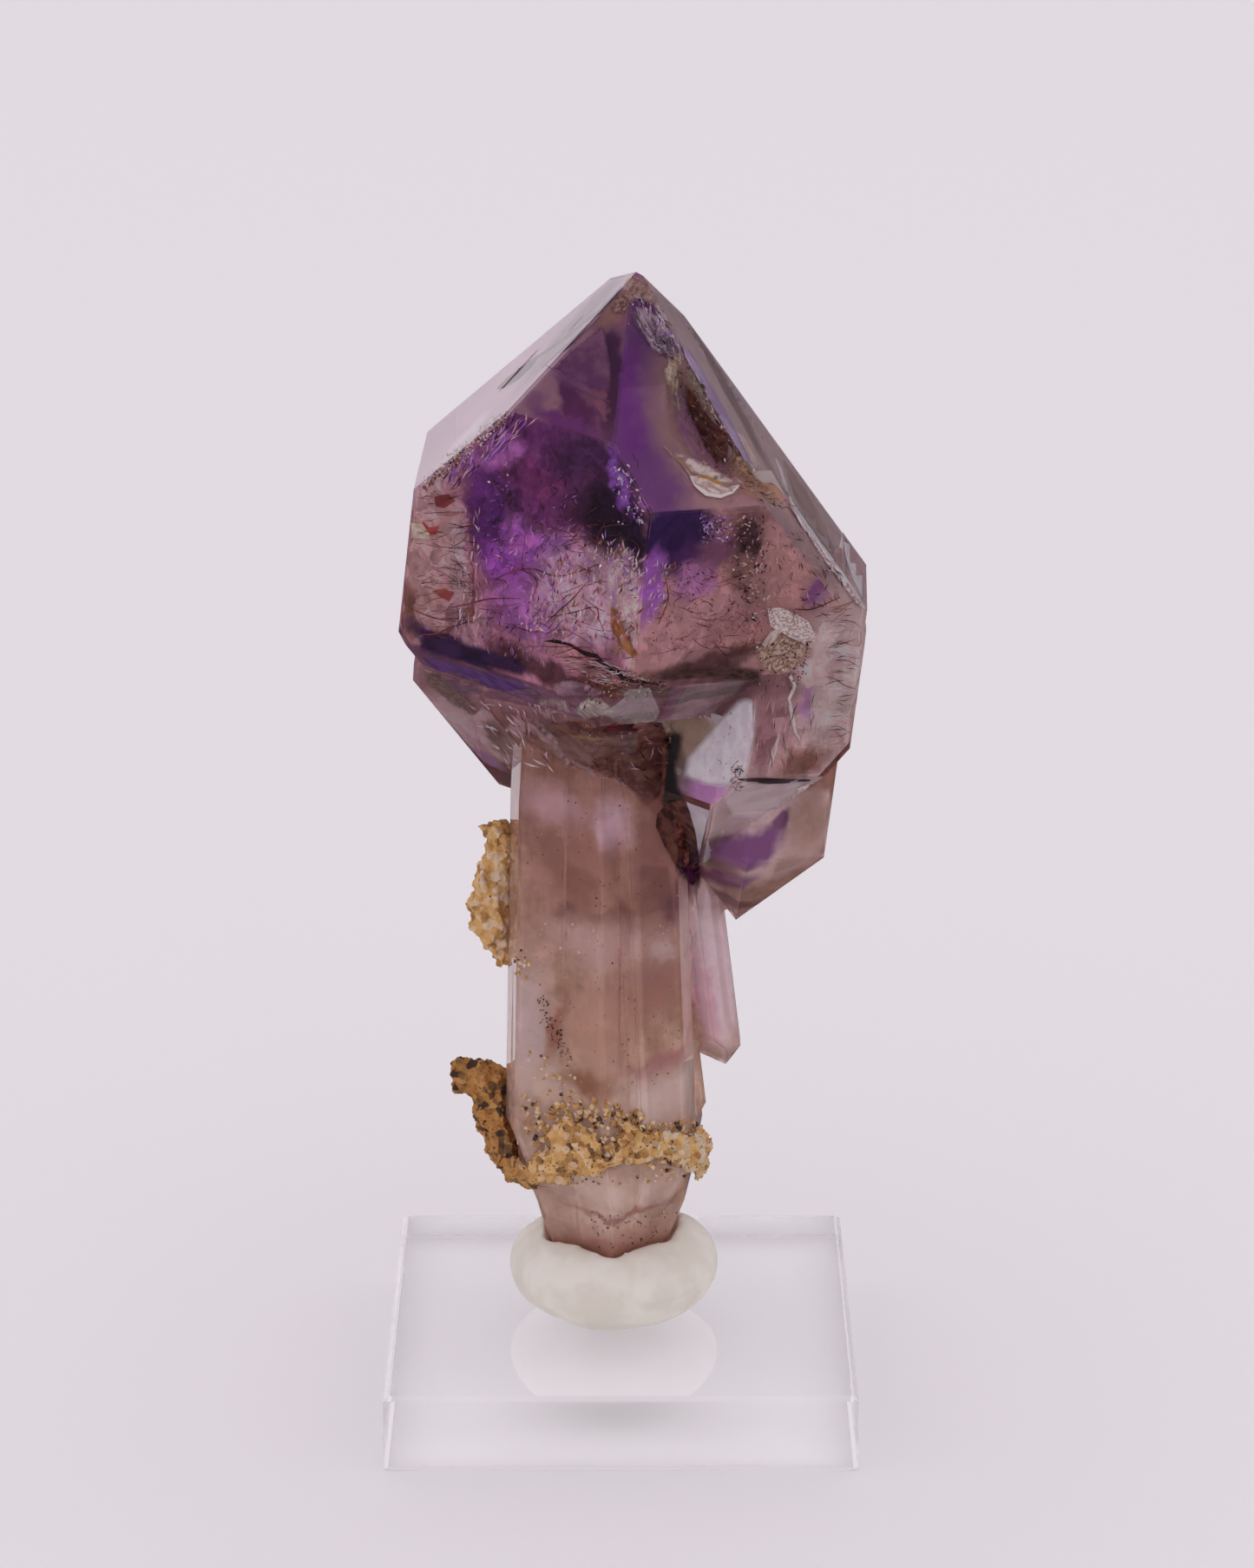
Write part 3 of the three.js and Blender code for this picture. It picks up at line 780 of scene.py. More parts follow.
# %% Groups for the inner body's colours
STEM_STOPS = [(13, (144, 106, 90)), (16, (168, 140, 120)), (22, (166, 138, 118)),
              (33, (156, 126, 106)), (42, (146, 112, 95)), (52, (130, 95, 83)),
              (60, (110, 73, 64))]
RIB_SCALE = (0.5, 0.5, 0.05)
RIB_STOPS = [(0.32, (0.93, 0.92, 0.92)), (0.68, (1.06, 1.06, 1.07))]
CLOUD_STOPS = [(0.34, (0.76, 0.70, 0.66)), (0.66, (1.22, 1.26, 1.34))]
CRUMB_STOPS = [(0.30, (0.30, 0.20, 0.24)), (0.44, (0.75, 0.70, 0.74)), (0.54, (1.05, 1.0, 1.05)),
               (0.68, (1.7, 1.6, 1.75))]
FACET_STOPS = [(0.0, (0.62, 0.60, 0.64)), (0.5, (1.0, 1.0, 1.0)), (1.0, (1.35, 1.3, 1.38))]
HEAD_CENTRE = (0, 2, 80)
CENTRE_PURPLE = 0.42
PURPLE_PER_MM = -0.03
PURPLE_FROM = 0.35
PURPLE_TO = 0.7
BACK_PURPLE = look(92, 50, 104)
BACK_MAUVE = look(142, 106, 112)
WARP_MM = 2.0


def stem_colour(tree, given):
    """The milky colour of the stem, which changes up its length and from rib to rib."""
    place = given["Place"]
    low, high = STEM_STOPS[0][0], STEM_STOPS[-1][0]
    share = node(tree, "MapRange", {"Value": axis_of(tree, place, "Z"), "From Min": low,
                                    "From Max": high})
    stops = [((z - low) / (high - low), look(*seen)[:3]) for z, seen in STEM_STOPS]
    colour = ramp(tree, share.outputs["Result"], stops)
    ribs = cloud(tree, vector_maths(tree, "MULTIPLY", place, RIB_SCALE), scale=5.0, detail=3.0)
    clouds = cloud(tree, place, scale=0.45, detail=6.0, Roughness=0.62)
    for shade, shade_stops in ((ribs, RIB_STOPS), (clouds, CLOUD_STOPS)):
        colour = mix(tree, 1.0, colour, ramp(tree, shade, shade_stops), "MULTIPLY")
    return colour


def head_colour(tree, given):
    """Purple toward the head's middle and top, mauve round it, in soft clouds."""
    distance = vector_maths(tree, "DISTANCE", given["Place"], HEAD_CENTRE, result="Value")
    nearness = maths(tree, "MULTIPLY_ADD", distance, PURPLE_PER_MM, CENTRE_PURPLE)
    amount = maths(tree, "ADD", nearness, cloud(tree, given["Place"], scale=0.16, detail=3.0))
    return mix(tree, limits(tree, amount, PURPLE_FROM, PURPLE_TO), BACK_MAUVE, BACK_PURPLE)


def jumble(tree, given):
    """Light and dark crumbs and small inner facets, as a colour to multiply by."""
    place = given["Place"]
    crumbs = cloud(tree, place, scale=0.9, detail=8.0, Roughness=0.68, Distortion=0.5)
    facets = cell_shade(tree, place, 0.75)
    return mix(tree, 1.0, ramp(tree, crumbs, CRUMB_STOPS), ramp(tree, facets, FACET_STOPS),
               "MULTIPLY")


def warped_place(tree, given):
    """A place that noise has moved by up to a millimetre, so that edges wander."""
    drift = cloud(tree, given["Place"], scale=0.7, detail=4.0, result="Color")
    centred = vector_maths(tree, "SUBTRACT", drift, (0.5, 0.5, 0.5))
    return vector_maths(tree, "MULTIPLY_ADD", centred, (WARP_MM, WARP_MM, WARP_MM), given["Place"])


PLACE_INPUT = {"Place": "Vector"}
stem_group = new_group("stem colour", PLACE_INPUT, "Colour", "Color", stem_colour)
head_group = new_group("head colour", PLACE_INPUT, "Colour", "Color", head_colour)
jumble_group = new_group("jumble", PLACE_INPUT, "Colour", "Color", jumble)
warp_group = new_group("warp", PLACE_INPUT, "Place", "Vector", warped_place)
print(len(bpy.data.node_groups), "groups so far")

# %% [markdown]
# A material can hold only so many patches before the renderer runs out of room for it, so the
# inner body has three materials, one above the other. Each takes the faces and patches that
# reach its heights.

# %% Put the colours together
NECK_HEIGHT = 61
CROWN_HEIGHT = 77
TOP_HEIGHT = 100
HEAD_FROM = 59
HEAD_TO = 62
STEM_BUSY = 0.12
GENERAL_BUSY = 0.45
PATCH_REACH = 6.0
PATCH_MARGIN = 1.5
REGIONS = [
    ("inner body foot", 0, NECK_HEIGHT, SMALL_FACES),
    ("inner body sides", NECK_HEIGHT, CROWN_HEIGHT, HEAD_FACES),
    ("inner body crown", CROWN_HEIGHT, TOP_HEIGHT, HEAD_FACES),
]


def patch_turn(degrees):
    """The turn of a patch that faces the camera and is rotated by this much in the picture."""
    across = RIGHT * math.cos(math.radians(degrees)) - DOWN * math.sin(math.radians(degrees))
    upward = AHEAD.cross(across)
    axes = Matrix((across, -upward, AHEAD)).transposed()
    return Vector(axes.to_euler())


def patches_between(low, high, faces):
    """Face, shape and tint of each patch that reaches these heights and can be seen there."""
    for face, rows in PATCHES:
        if face != NO_FACE and face not in faces:
            continue
        for _, point, size, turn, seen, soft in rows:
            centre = under(*point, INNER_DEPTH) / MM
            half = (size[0] / PX_PER_MM, size[1] / PX_PER_MM, PATCH_REACH)
            margin = max(half[0], half[1]) + PATCH_MARGIN
            if low - margin < centre.z < high + margin:
                shape = {"Centre": centre, "Turn": patch_turn(turn), "Size": half, "Soft": soft}
                yield face, shape, look(*seen)


def paint_inner_body(name, low, high, faces):
    """The inner body's material between two heights in millimetres."""
    material, tree, shader = material_with(
        name, Roughness=0.35, IOR=1.0, Transmission_Weight=INNER_TRANSMISSION)
    place = place_in_mm(tree)
    warped = use_group(tree, warp_group, Place=place)
    is_head = limits(tree, axis_of(tree, warped, "Z"), HEAD_FROM, HEAD_TO)
    colour = mix(tree, is_head, use_group(tree, stem_group, Place=place),
                 use_group(tree, head_group, Place=warped))
    busy = mix_value(tree, is_head, STEM_BUSY, GENERAL_BUSY)
    masks = face_masks(tree, place, faces)
    for face, (_, tint, amount) in faces.items():
        colour = mix(tree, masks[face], colour, tint)
        busy = mix_value(tree, masks[face], busy, amount)
    for face, shape, tint in patches_between(low, high, faces):
        mask = use_group(tree, patch_group, Place=warped, **shape)
        if face in masks:
            mask = maths(tree, "MULTIPLY", mask, masks[face])
        colour = mix(tree, mask, colour, tint)
    jumbled = mix(tree, 1.0, colour, use_group(tree, jumble_group, Place=warped), "MULTIPLY")
    colour = mix(tree, busy, colour, jumbled)
    colour.node.clamp_result = True
    tree.links.new(colour, shader.inputs["Base Color"])
    return material


for name, low, high, faces in REGIONS:
    inner.data.materials.append(paint_inner_body(name, low, high, faces))
    print(name, "has", len(list(patches_between(low, high, faces))), "patches")
for polygon in inner.data.polygons:
    height = polygon.center.z / MM
    polygon.material_index = [low <= height < high for _, low, high, _ in REGIONS].index(True)
print("inner body has", len(inner.data.materials), "materials")

# %% [markdown]
# ## Fine threads in the quartz
#
# Thin curved threads of iron mineral run under the front faces, most of them level, and a few
# thicker ones stand out. Each is a tube along a smooth curve. Hair particles would be quicker,
# but they don't export, so the tubes are real mesh, joined in one piece.

# %% A draft that gathers many small shapes in one mesh
class Draft:
    """Vertices and faces of a piece that is made of many small shapes."""

    def __init__(self):
        self.points = []
        self.faces = []
        self.slots = []
        self.inner = []

    def add(self, points, faces, slot=0, inner=None):
        """Adds one small shape with its slot, and for each point how far it is from the rim."""
        first = len(self.points)
        self.points.extend(points)
        self.inner.extend(inner or [1.0] * len(points))
        self.faces.extend(tuple(first + corner for corner in face) for face in faces)
        self.slots.extend([slot] * len(faces))

    def build(self, name, *materials, smooth=True):
        """Makes the piece and lets it ride with the part."""
        mesh = bpy.data.meshes.new(name)
        mesh.from_pydata(self.points, [], self.faces)
        for material in materials:
            mesh.materials.append(material)
        for polygon, slot in zip(mesh.polygons, self.slots):
            polygon.material_index = slot
        mesh.attributes.new("inner", "FLOAT", "POINT").data.foreach_set("value", self.inner)
        if smooth:
            mesh.shade_smooth()
        else:
            mesh.shade_flat()
        piece = bpy.data.objects.new(name, mesh)
        scene.collection.objects.link(piece)
        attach(piece, BODY)
        print(name, "has", len(self.faces), "faces")
        return piece


# %% A thin tube
TUBE_SIDES = 5
TUBE_TIP = 0.25
TUBE_END = 0.04


def tube(draft, path, radius):
    """A thin tube with narrow ends along a path."""
    points = []
    for step, place in enumerate(path):
        before = path[max(step - 1, 0)]
        after = path[min(step + 1, len(path) - 1)]
        ahead = (after - before).normalized()
        side = ahead.cross(AHEAD).normalized()
        over = side.cross(ahead)
        share = min(max(step / (len(path) - 1), TUBE_END), 1 - TUBE_END)
        reach = radius * (TUBE_TIP + (1 - TUBE_TIP) * math.sin(math.pi * share) ** 0.5)
        for corner in range(TUBE_SIDES):
            angle = 2 * math.pi * corner / TUBE_SIDES
            points.append(place + (side * math.cos(angle) + over * math.sin(angle)) * reach)
    faces = []
    for step in range(len(path) - 1):
        for corner in range(TUBE_SIDES):
            following = (corner + 1) % TUBE_SIDES
            low, high = step * TUBE_SIDES, (step + 1) * TUBE_SIDES
            faces.append((low + corner, low + following, high + following, high + corner))
    faces.append(tuple(reversed(range(TUBE_SIDES))))
    faces.append(tuple(len(points) - TUBE_SIDES + corner for corner in range(TUBE_SIDES)))
    draft.add(points, faces)


# %% Threads, level ones by chance and the long ones as seen
THREAD_FIELDS = [
    ((476, 545, 590, 735), 34, (24, 70), 12),
    ((545, 735, 605, 760), 84, (12, 50), 40),
    ((745, 860, 650, 765), 34, (10, 40), 35),
    ((950, 992, 690, 860), 26, (20, 44), 14),
    ((560, 735, 500, 600), 26, (8, 26), 60),
]
LONG_THREADS = [
    [(626, 722), (642, 706), (660, 690), (675, 672)],
    [(570, 668), (592, 658), (616, 656), (640, 664), (668, 658), (690, 650)],
    [(596, 655), (612, 662), (619, 672), (616, 682)],
    [(482, 730), (500, 731), (522, 722), (544, 716)],
    [(474, 702), (500, 712), (524, 716)],
    [(628, 712), (660, 706), (686, 700), (690, 716)],
    [(520, 700), (540, 696), (566, 690), (600, 690)],
    [(767, 666), (770, 690), (762, 712), (758, 720)],
    [(915, 702), (936, 702), (960, 692), (968, 688)],
    [(560, 548), (580, 570), (600, 590)],
]
THREAD_RADIUS = 0.034 * MM
LONG_RADIUS = 0.06 * MM
THREAD_DEPTHS = (0.08 * MM, 0.3 * MM)
THREAD_WIDTHS = (0.5, 1.2)
THREAD_STEPS = 9
THREAD_BENDS = 3
CURL = 14
CHANCE_SEED = 11

chance = random.Random(CHANCE_SEED)


def smooth_path(corners, steps):
    """Points evenly spaced on a smooth curve through these photograph points."""
    path = []
    for step in range(steps):
        share = step / (steps - 1) * (len(corners) - 1)
        index = min(int(share), len(corners) - 2)
        part = share - index
        quad = [corners[min(max(index + shift, 0), len(corners) - 1)] for shift in (-1, 0, 1, 2)]
        point = []
        for axis in range(2):
            before, start, end, after = (corner[axis] for corner in quad)
            point.append(0.5 * (2 * start + (end - before) * part
                                + (2 * before - 5 * start + 4 * end - after) * part ** 2
                                + (3 * start - before - 3 * end + after) * part ** 3))
        path.append(point)
    return path


def chance_thread(field, lengths, spread):
    """The photograph points of a random thread in a field."""
    left, right, top, bottom = field
    x, y = chance.uniform(left, right), chance.uniform(top, bottom)
    heading = math.radians(chance.gauss(0, spread))
    length = chance.uniform(*lengths)
    corners = [(x, y)]
    for _ in range(THREAD_BENDS):
        heading += math.radians(chance.gauss(0, CURL))
        x += math.cos(heading) * length / THREAD_BENDS
        y -= math.sin(heading) * length / THREAD_BENDS
        corners.append((min(max(x, left), right), min(max(y, top), bottom)))
    return corners


def lay_thread(draft, corners, radius, steps):
    """One thread under the faces, if all of it lies under the stone's surface."""
    depth = chance.uniform(*THREAD_DEPTHS)
    path = [under(px, py, depth) for px, py in smooth_path(corners, steps)]
    if None not in path:
        tube(draft, path, radius)


threads = Draft()
for field, count, lengths, spread in THREAD_FIELDS:
    for _ in range(count):
        lay_thread(threads, chance_thread(field, lengths, spread),
                   THREAD_RADIUS * chance.uniform(*THREAD_WIDTHS), THREAD_STEPS)
for corners in LONG_THREADS:
    lay_thread(threads, corners, LONG_RADIUS, 2 * THREAD_STEPS)
print(len(threads.points), "points in the threads")

# %% [markdown]
# The threads, the putty and the loose grains are each uneven between two tones, so they share a
# group for that.

# %% A paint of two tones
FIRST_TONE_BELOW = 0.38
SECOND_TONE_ABOVE = 0.62


def two_tones(tree, given):
    """Wanders by soft noise between two tones."""
    drift = cloud(tree, given["Place"], given["Scale"], 3.0)
    share = limits(tree, drift, FIRST_TONE_BELOW, SECOND_TONE_ABOVE)
    return mix(tree, share, given["First"], given["Second"])


two_tone_group = new_group(
    "two tones", {"Place": "Vector", "Scale": "Float", "First": "Color", "Second": "Color"},
    "Colour", "Color", two_tones)


def two_tone_paint(name, first, second, scale, **values):
    """A material that wanders between two tones, with noise of this scale per millimetre."""
    material, tree, shader = material_with(name, **values)
    tone = use_group(tree, two_tone_group, Place=place_in_mm(tree), Scale=scale,
                     First=(*first, 1), Second=(*second, 1))
    tree.links.new(tone, shader.inputs["Base Color"])
    return material


threads.build("iron_threads", two_tone_paint(
    "iron threads", (0.06, 0.008, 0.010), (0.34, 0.045, 0.03), scale=0.6, Roughness=0.7))

# %% [markdown]
# ## Flaws with an outline
#
# Much of what shows in the stone has a sharp outline: chips, healed cracks, the walls of the
# fracture near the tip, and inner faces that mirror another part of the stone. Each is a thin
# leaf that lies just under the face. Its outline is given on the photograph and filled with
# small triangles, and every corner is sent into the stone along its bent ray. A later leaf lies
# a little nearer the face, so it can cover part of an earlier one. Paint on the outside would
# be quicker, but it would cross edges and lie on top of the polish.

# %% Helpers for outlines
def sides_of(corners):
    """The two ends of each side of a closed outline."""
    return zip(corners, corners[1:] + corners[:1])


def box_of(corners):
    """The left, right, top and bottom of an outline."""
    across = [corner.x for corner in corners]
    down = [corner.y for corner in corners]
    return min(across), max(across), min(down), max(down)


def is_inside(point, outline):
    """Whether a point of the photograph lies inside an outline."""
    inside = False
    for start, end in sides_of(outline):
        if (start.y > point.y) != (end.y > point.y):
            share = (point.y - start.y) / (end.y - start.y)
            if point.x < start.x + share * (end.x - start.x):
                inside = not inside
    return inside


def band(points, widths):
    """The outline of a band along a line of points, with a width at each."""
    left, right = [], []
    for index, point in enumerate(points):
        before = Vector(points[max(index - 1, 0)])
        after = Vector(points[min(index + 1, len(points) - 1)])
        ahead = (after - before).normalized()
        side = Vector((-ahead.y, ahead.x)) * (widths[index] / 2)
        left.append(tuple(Vector(point) + side))
        right.append(tuple(Vector(point) - side))
    return left + right[::-1]


print("a band of two points has", len(band([(0, 0), (1, 0)], [1, 1])), "corners")

# %% Lay a leaf under the faces
LEAF_GRID = 7
LEAF_JAG = 0.4
LEAF_DEPTH = 0.25 * MM
LEAF_STEP = 0.002 * MM
LEAF_LONGEST = 4.0 * MM
FILL_INSIDE = 1
SAME_POINT_PX = 0.01


def roughened(outline):
    """The outline with more corners, each moved a little by chance."""
    corners = []
    for start, end in sides_of(outline):
        start, end = Vector(start), Vector(end)
        pieces = max(1, round((end - start).length / LEAF_GRID))
        corners += [start.lerp(end, piece / pieces) for piece in range(pieces)]
    return [corner + Vector([chance.uniform(-LEAF_JAG, LEAF_JAG) for _ in range(2)])
            for corner in corners]


def filled(outline):
    """Points and triangles that fill an outline on the photograph."""
    left, right, top, bottom = box_of(outline)
    points = list(outline)
    for row in range(int((bottom - top) / LEAF_GRID)):
        for column in range(int((right - left) / LEAF_GRID)):
            point = Vector((left + (column + 0.5) * LEAF_GRID, top + (row + 0.5) * LEAF_GRID))
            if is_inside(point, outline):
                points.append(point)
    rim = list(range(len(outline)))
    made = delaunay_2d_cdt(points, [], [rim], FILL_INSIDE, SAME_POINT_PX)
    return made[0], made[2]


def rim_distance(point, outline):
    """How far a point is from an outline, in steps of the leaf's grid."""
    nearest = []
    for start, end in sides_of(outline):
        foot, share = intersect_point_line(point, start, end)
        foot = start if share < 0 else end if share > 1 else foot
        nearest.append((foot.xy - point).length)
    return min(nearest) / LEAF_GRID


def lay_leaf(draft, outline, depth, slot):
    """One leaf under the faces, left out where the outline is off the stone."""
    outline = roughened(outline)
    points, faces = filled(outline)
    places = [under(point.x, point.y, depth) for point in points]
    kept = []
    for face in faces:
        corners = [places[index] for index in face]
        if None in corners:
            continue
        if max((end - start).length for start, end in sides_of(corners)) < LEAF_LONGEST:
            kept.append(face)
    used = sorted({index for face in kept for index in face})
    number = {index: count for count, index in enumerate(used)}
    draft.add([places[index] for index in used],
              [[number[index] for index in face] for face in kept], slot,
              [rim_distance(points[index], outline) for index in used])


print("a leaf lies", round(LEAF_DEPTH / MM, 2), "mm under the face")

# %% [markdown]
# A leaf's material breaks light and dark tones up by noise. The noise can be drawn out one
# way, which gives the fine parallel steps that growth and splitting leave in quartz. A second
# group thins the leaf out toward its rim. Pictures of real flaws would hold more detail, but
# they would repeat.

# %% The broken tone and frayed edge groups
DARK_BELOW = 0.40
LIGHT_ABOVE = 0.60


def broken_tone(tree, given):
    """Light and dark broken up by fine noise, drawn out along its turn."""
    local = node(tree, "Mapping", {"Vector": given["Place"], "Rotation": given["Turn"],
                                   "Scale": given["Size"]}, vector_type="TEXTURE")
    broken = cloud(tree, local.outputs["Vector"], scale=1.0, detail=4.0, Roughness=0.6)
    return mix(tree, limits(tree, broken, DARK_BELOW, LIGHT_ABOVE), given["Dark"], given["Light"])


def frayed_edge(tree, given):
    """Fades in over a width from the rim, and more raggedly the higher Fray is."""
    fray = cloud(tree, given["Place"], scale=2.5, detail=3.0)
    reach = maths(tree, "MULTIPLY_ADD", fray, given["Fray"], given["Inner"])
    low = maths(tree, "MULTIPLY", given["Fray"], 0.5)
    return limits(tree, reach, low, maths(tree, "ADD", low, given["Width"]))


broken_group = new_group(
    "broken tone", {"Place": "Vector", "Turn": "Vector", "Size": "Vector", "Light": "Color",
                    "Dark": "Color"}, "Colour", "Color", broken_tone)
frayed_group = new_group(
    "frayed edge", {"Place": "Vector", "Inner": "Float", "Fray": "Float", "Width": "Float"},
    "Mask", "Float", frayed_edge)
print(len(bpy.data.node_groups), "groups so far")

# %% The leaf's material
LEAF_THROUGH = 0.05
SHARP = None
FADED = (0.1, 1.3)
SOFT = (0.8, 0.8)


def leaf_paint(name, light, dark, size, turn, edge):
    """A leaf's material, with its grain size in millimetres along and across its turn."""
    material, tree, shader = material_with(
        name, Roughness=0.4, IOR=1.0, Transmission_Weight=LEAF_THROUGH)
    place = place_in_mm(tree)
    colour = use_group(tree, broken_group, Place=place, Turn=patch_turn(turn),
                       Size=(size[0], size[1], size[1]),
                       Light=tint_under_glass(light, LEAF_THROUGH),
                       Dark=tint_under_glass(dark, LEAF_THROUGH))
    tree.links.new(colour, shader.inputs["Base Color"])
    if edge != SHARP:
        from_rim = node(tree, "Attribute", attribute_name="inner").outputs["Fac"]
        mask = use_group(tree, frayed_group, Place=place, Inner=from_rim, Fray=edge[0],
                         Width=edge[1])
        tree.links.new(mask, shader.inputs["Alpha"])
    return material


# %% [markdown]
# Each leaf is listed with its light and dark tone, the size of its grain, the turn of its
# grain in degrees, its kind of edge, and its outline in the photograph's pixels. An inner face
# has a sharp edge, a reflection fades evenly, and a stain or a healed crack frays out.

# %% Leaves near the tip and round the fracture
GRAINY = (0.35, 0.3)
EVEN = (3.0, 2.0)
TIP_LEAVES = [
    ("dark lens", (88, 72, 76), (76, 60, 64), EVEN, 38, SHARP,
     [(572, 448), (586, 434), (604, 421), (622, 409), (612, 424), (596, 438), (580, 448)]),
    ("lens line", (104, 88, 96), (92, 76, 84), EVEN, 38, SHARP,
     band([(600, 424), (630, 404), (655, 386), (690, 358), (712, 334)], [2, 3, 2.4, 2, 1])),
    ("ridge line", (96, 82, 88), (84, 70, 76), EVEN, 40, SHARP,
     band([(624, 424), (650, 400), (676, 376), (700, 350), (716, 330)], [1, 2.4, 2.6, 2, 1])),
    ("tip chip", (160, 126, 118), (112, 80, 76), GRAINY, 60, SOFT,
     [(720, 322), (727, 311), (738, 313), (748, 328), (760, 346), (762, 356), (750, 352),
      (738, 346), (728, 352), (716, 344)]),
    ("brown beside the tip", (146, 110, 104), (84, 54, 52), GRAINY, -40, SOFT,
     [(700, 352), (710, 336), (718, 332), (724, 346), (728, 360), (716, 364), (702, 364)]),
    ("flaky tip", (152, 134, 148), (88, 68, 84), (2.5, 0.3), -58, SOFT,
     [(724, 356), (738, 350), (754, 360), (766, 366), (776, 380), (785, 396), (778, 412),
      (768, 409), (756, 410), (744, 396), (734, 376)]),
    ("fracture's left wall", (196, 168, 148), (118, 92, 76), (1.2, 0.3), -70, SOFT,
     [(764, 424), (772, 410), (784, 403), (790, 414), (784, 426), (788, 440), (785, 456),
      (790, 474), (802, 494), (788, 488), (775, 468), (766, 442)]),
    ("fracture's floor", (88, 50, 40), (50, 24, 22), (0.8, 0.4), -60, SOFT,
     [(788, 436), (800, 450), (812, 470), (828, 488), (842, 500), (842, 518), (838, 536),
      (826, 540), (812, 520), (802, 498), (792, 478), (786, 456)]),
    ("fracture's right wall", (122, 110, 94), (90, 78, 66), EVEN, -56, SOFT,
     [(792, 416), (804, 428), (816, 450), (830, 474), (843, 500), (828, 488), (812, 469),
      (800, 450), (790, 434)]),
    ("brown below the floor", (150, 112, 92), (92, 62, 50), GRAINY, -40, SOFT,
     [(842, 502), (856, 514), (866, 536), (880, 556), (912, 582), (880, 566), (852, 550),
      (838, 540), (842, 520)]),
    ("pink slab", (214, 180, 168), (160, 124, 114), (1.5, 0.4), -60, SHARP,
     [(848, 498), (858, 502), (868, 520), (880, 546), (870, 544), (860, 528)]),
    ("lilac edge", (166, 138, 178), (128, 98, 140), EVEN, -60, SHARP,
     [(786, 396), (796, 406), (822, 448), (846, 492), (868, 536), (858, 530), (836, 494),
      (812, 450), (790, 412)]),
    ("chip's slope", (218, 196, 186), (172, 142, 134), (2.5, 0.6), -34, SOFT,
     [(762, 508), (774, 519), (792, 524), (812, 532), (834, 545), (851, 557), (838, 561),
      (822, 554), (806, 548), (794, 546), (786, 534), (772, 524)]),
    ("chip's bowl", (224, 204, 200), (170, 136, 128), (1.0, 0.3), -20, SHARP,
     [(795, 547), (806, 549), (822, 555), (838, 562), (851, 558), (846, 566), (830, 571),
      (814, 568), (802, 559)]),
    ("chip's rim", (255, 252, 250), (240, 226, 222), EVEN, -20, SHARP,
     band([(795, 548), (802, 560), (814, 569), (830, 572), (844, 567), (852, 559)],
          [1, 3.5, 4.5, 4.5, 3, 1])),
    ("chip's ochre line", (176, 126, 66), (128, 80, 36), (0.8, 0.4), -20, SHARP,
     band([(804, 550), (814, 549), (824, 555), (836, 559)], [1.5, 3.5, 3.5, 1])),
    ("chip's left line", (200, 160, 100), (150, 112, 80), EVEN, -50, SHARP,
     band([(764, 512), (774, 524), (786, 534), (795, 547)], [0.8, 1.6, 2.0, 1.4])),
    ("mauve wedge", (104, 66, 92), (80, 46, 76), EVEN, -30, SOFT,
     [(634, 424), (662, 398), (696, 372), (706, 420), (704, 456), (680, 450), (656, 436)]),
    ("mauve line", (102, 64, 84), (84, 50, 72), (1.5, 0.3), -30, SHARP,
     band([(628, 420), (650, 434), (670, 450), (686, 458), (704, 463)], [1, 1.4, 3, 3.6, 1])),
]
print(len(TIP_LEAVES), "leaves near the tip")

# %% Leaves on the right
RIGHT_LEAVES = [
    ("striped strip", (224, 210, 210), (150, 126, 128), (6.0, 0.14), -57, SHARP,
     [(893, 526), (900, 536), (912, 574), (938, 618), (964, 652), (998, 702), (988, 696),
      (956, 654), (924, 606), (906, 572)]),
    # Painted highlight: a thin white stripe along the head's right edge.
    ("painted edge highlight", (240, 232, 236), (206, 192, 198), EVEN, -57, SHARP,
     band([(894, 528), (912, 578), (942, 622), (970, 660), (999, 703)], [1.4, 1.8, 2.4, 2.4, 1.6])),
    ("brown triangle", (146, 112, 106), (104, 74, 70), (4.0, 0.3), -57, SHARP,
     [(902, 530), (908, 536), (929, 566), (951, 606), (962, 636), (968, 654), (960, 646),
      (938, 614), (916, 572)]),
    ("bright facet", (226, 218, 222), (200, 190, 194), EVEN, -60, SHARP,
     [(969, 610), (990, 634), (998, 648), (1000, 700), (984, 670), (977, 650)]),
    ("smoky edge", (120, 96, 94), (92, 70, 70), (5.0, 0.5), -57, SOFT,
     [(770, 346), (792, 366), (840, 436), (880, 500), (900, 530), (890, 524), (862, 484),
      (822, 424), (790, 378)]),
    ("white wedge", (250, 240, 236), (168, 130, 120), (3.0, 0.14), -16, SHARP,
     [(884, 701), (900, 700), (918, 708), (932, 716), (943, 738), (928, 742), (908, 733),
      (888, 722)]),
    ("white prong", (238, 224, 218), (176, 140, 128), (1.5, 0.2), 58, SHARP,
     [(903, 722), (894, 740), (884, 752), (878, 742), (888, 728)]),
    ("speckled patch", (206, 172, 154), (130, 94, 76), (0.30, 0.26), 20, SOFT,
     [(868, 738), (884, 744), (898, 730), (920, 736), (934, 746), (926, 762), (912, 776),
      (892, 780), (878, 772), (870, 756)]),
    ("zigzag vein", (246, 234, 230), (214, 192, 186), EVEN, -80, SHARP,
     band([(910, 778), (916, 790), (909, 806), (913, 826), (917, 844), (923, 854)],
          [3, 4, 4, 4.5, 3, 1.5])),
    ("column streak", (226, 206, 204), (188, 158, 156), (2.0, 0.3), 76, SHARP,
     band([(898, 846), (892, 866), (886, 890)], [2, 6, 2])),
]
print(len(RIGHT_LEAVES), "leaves on the right")

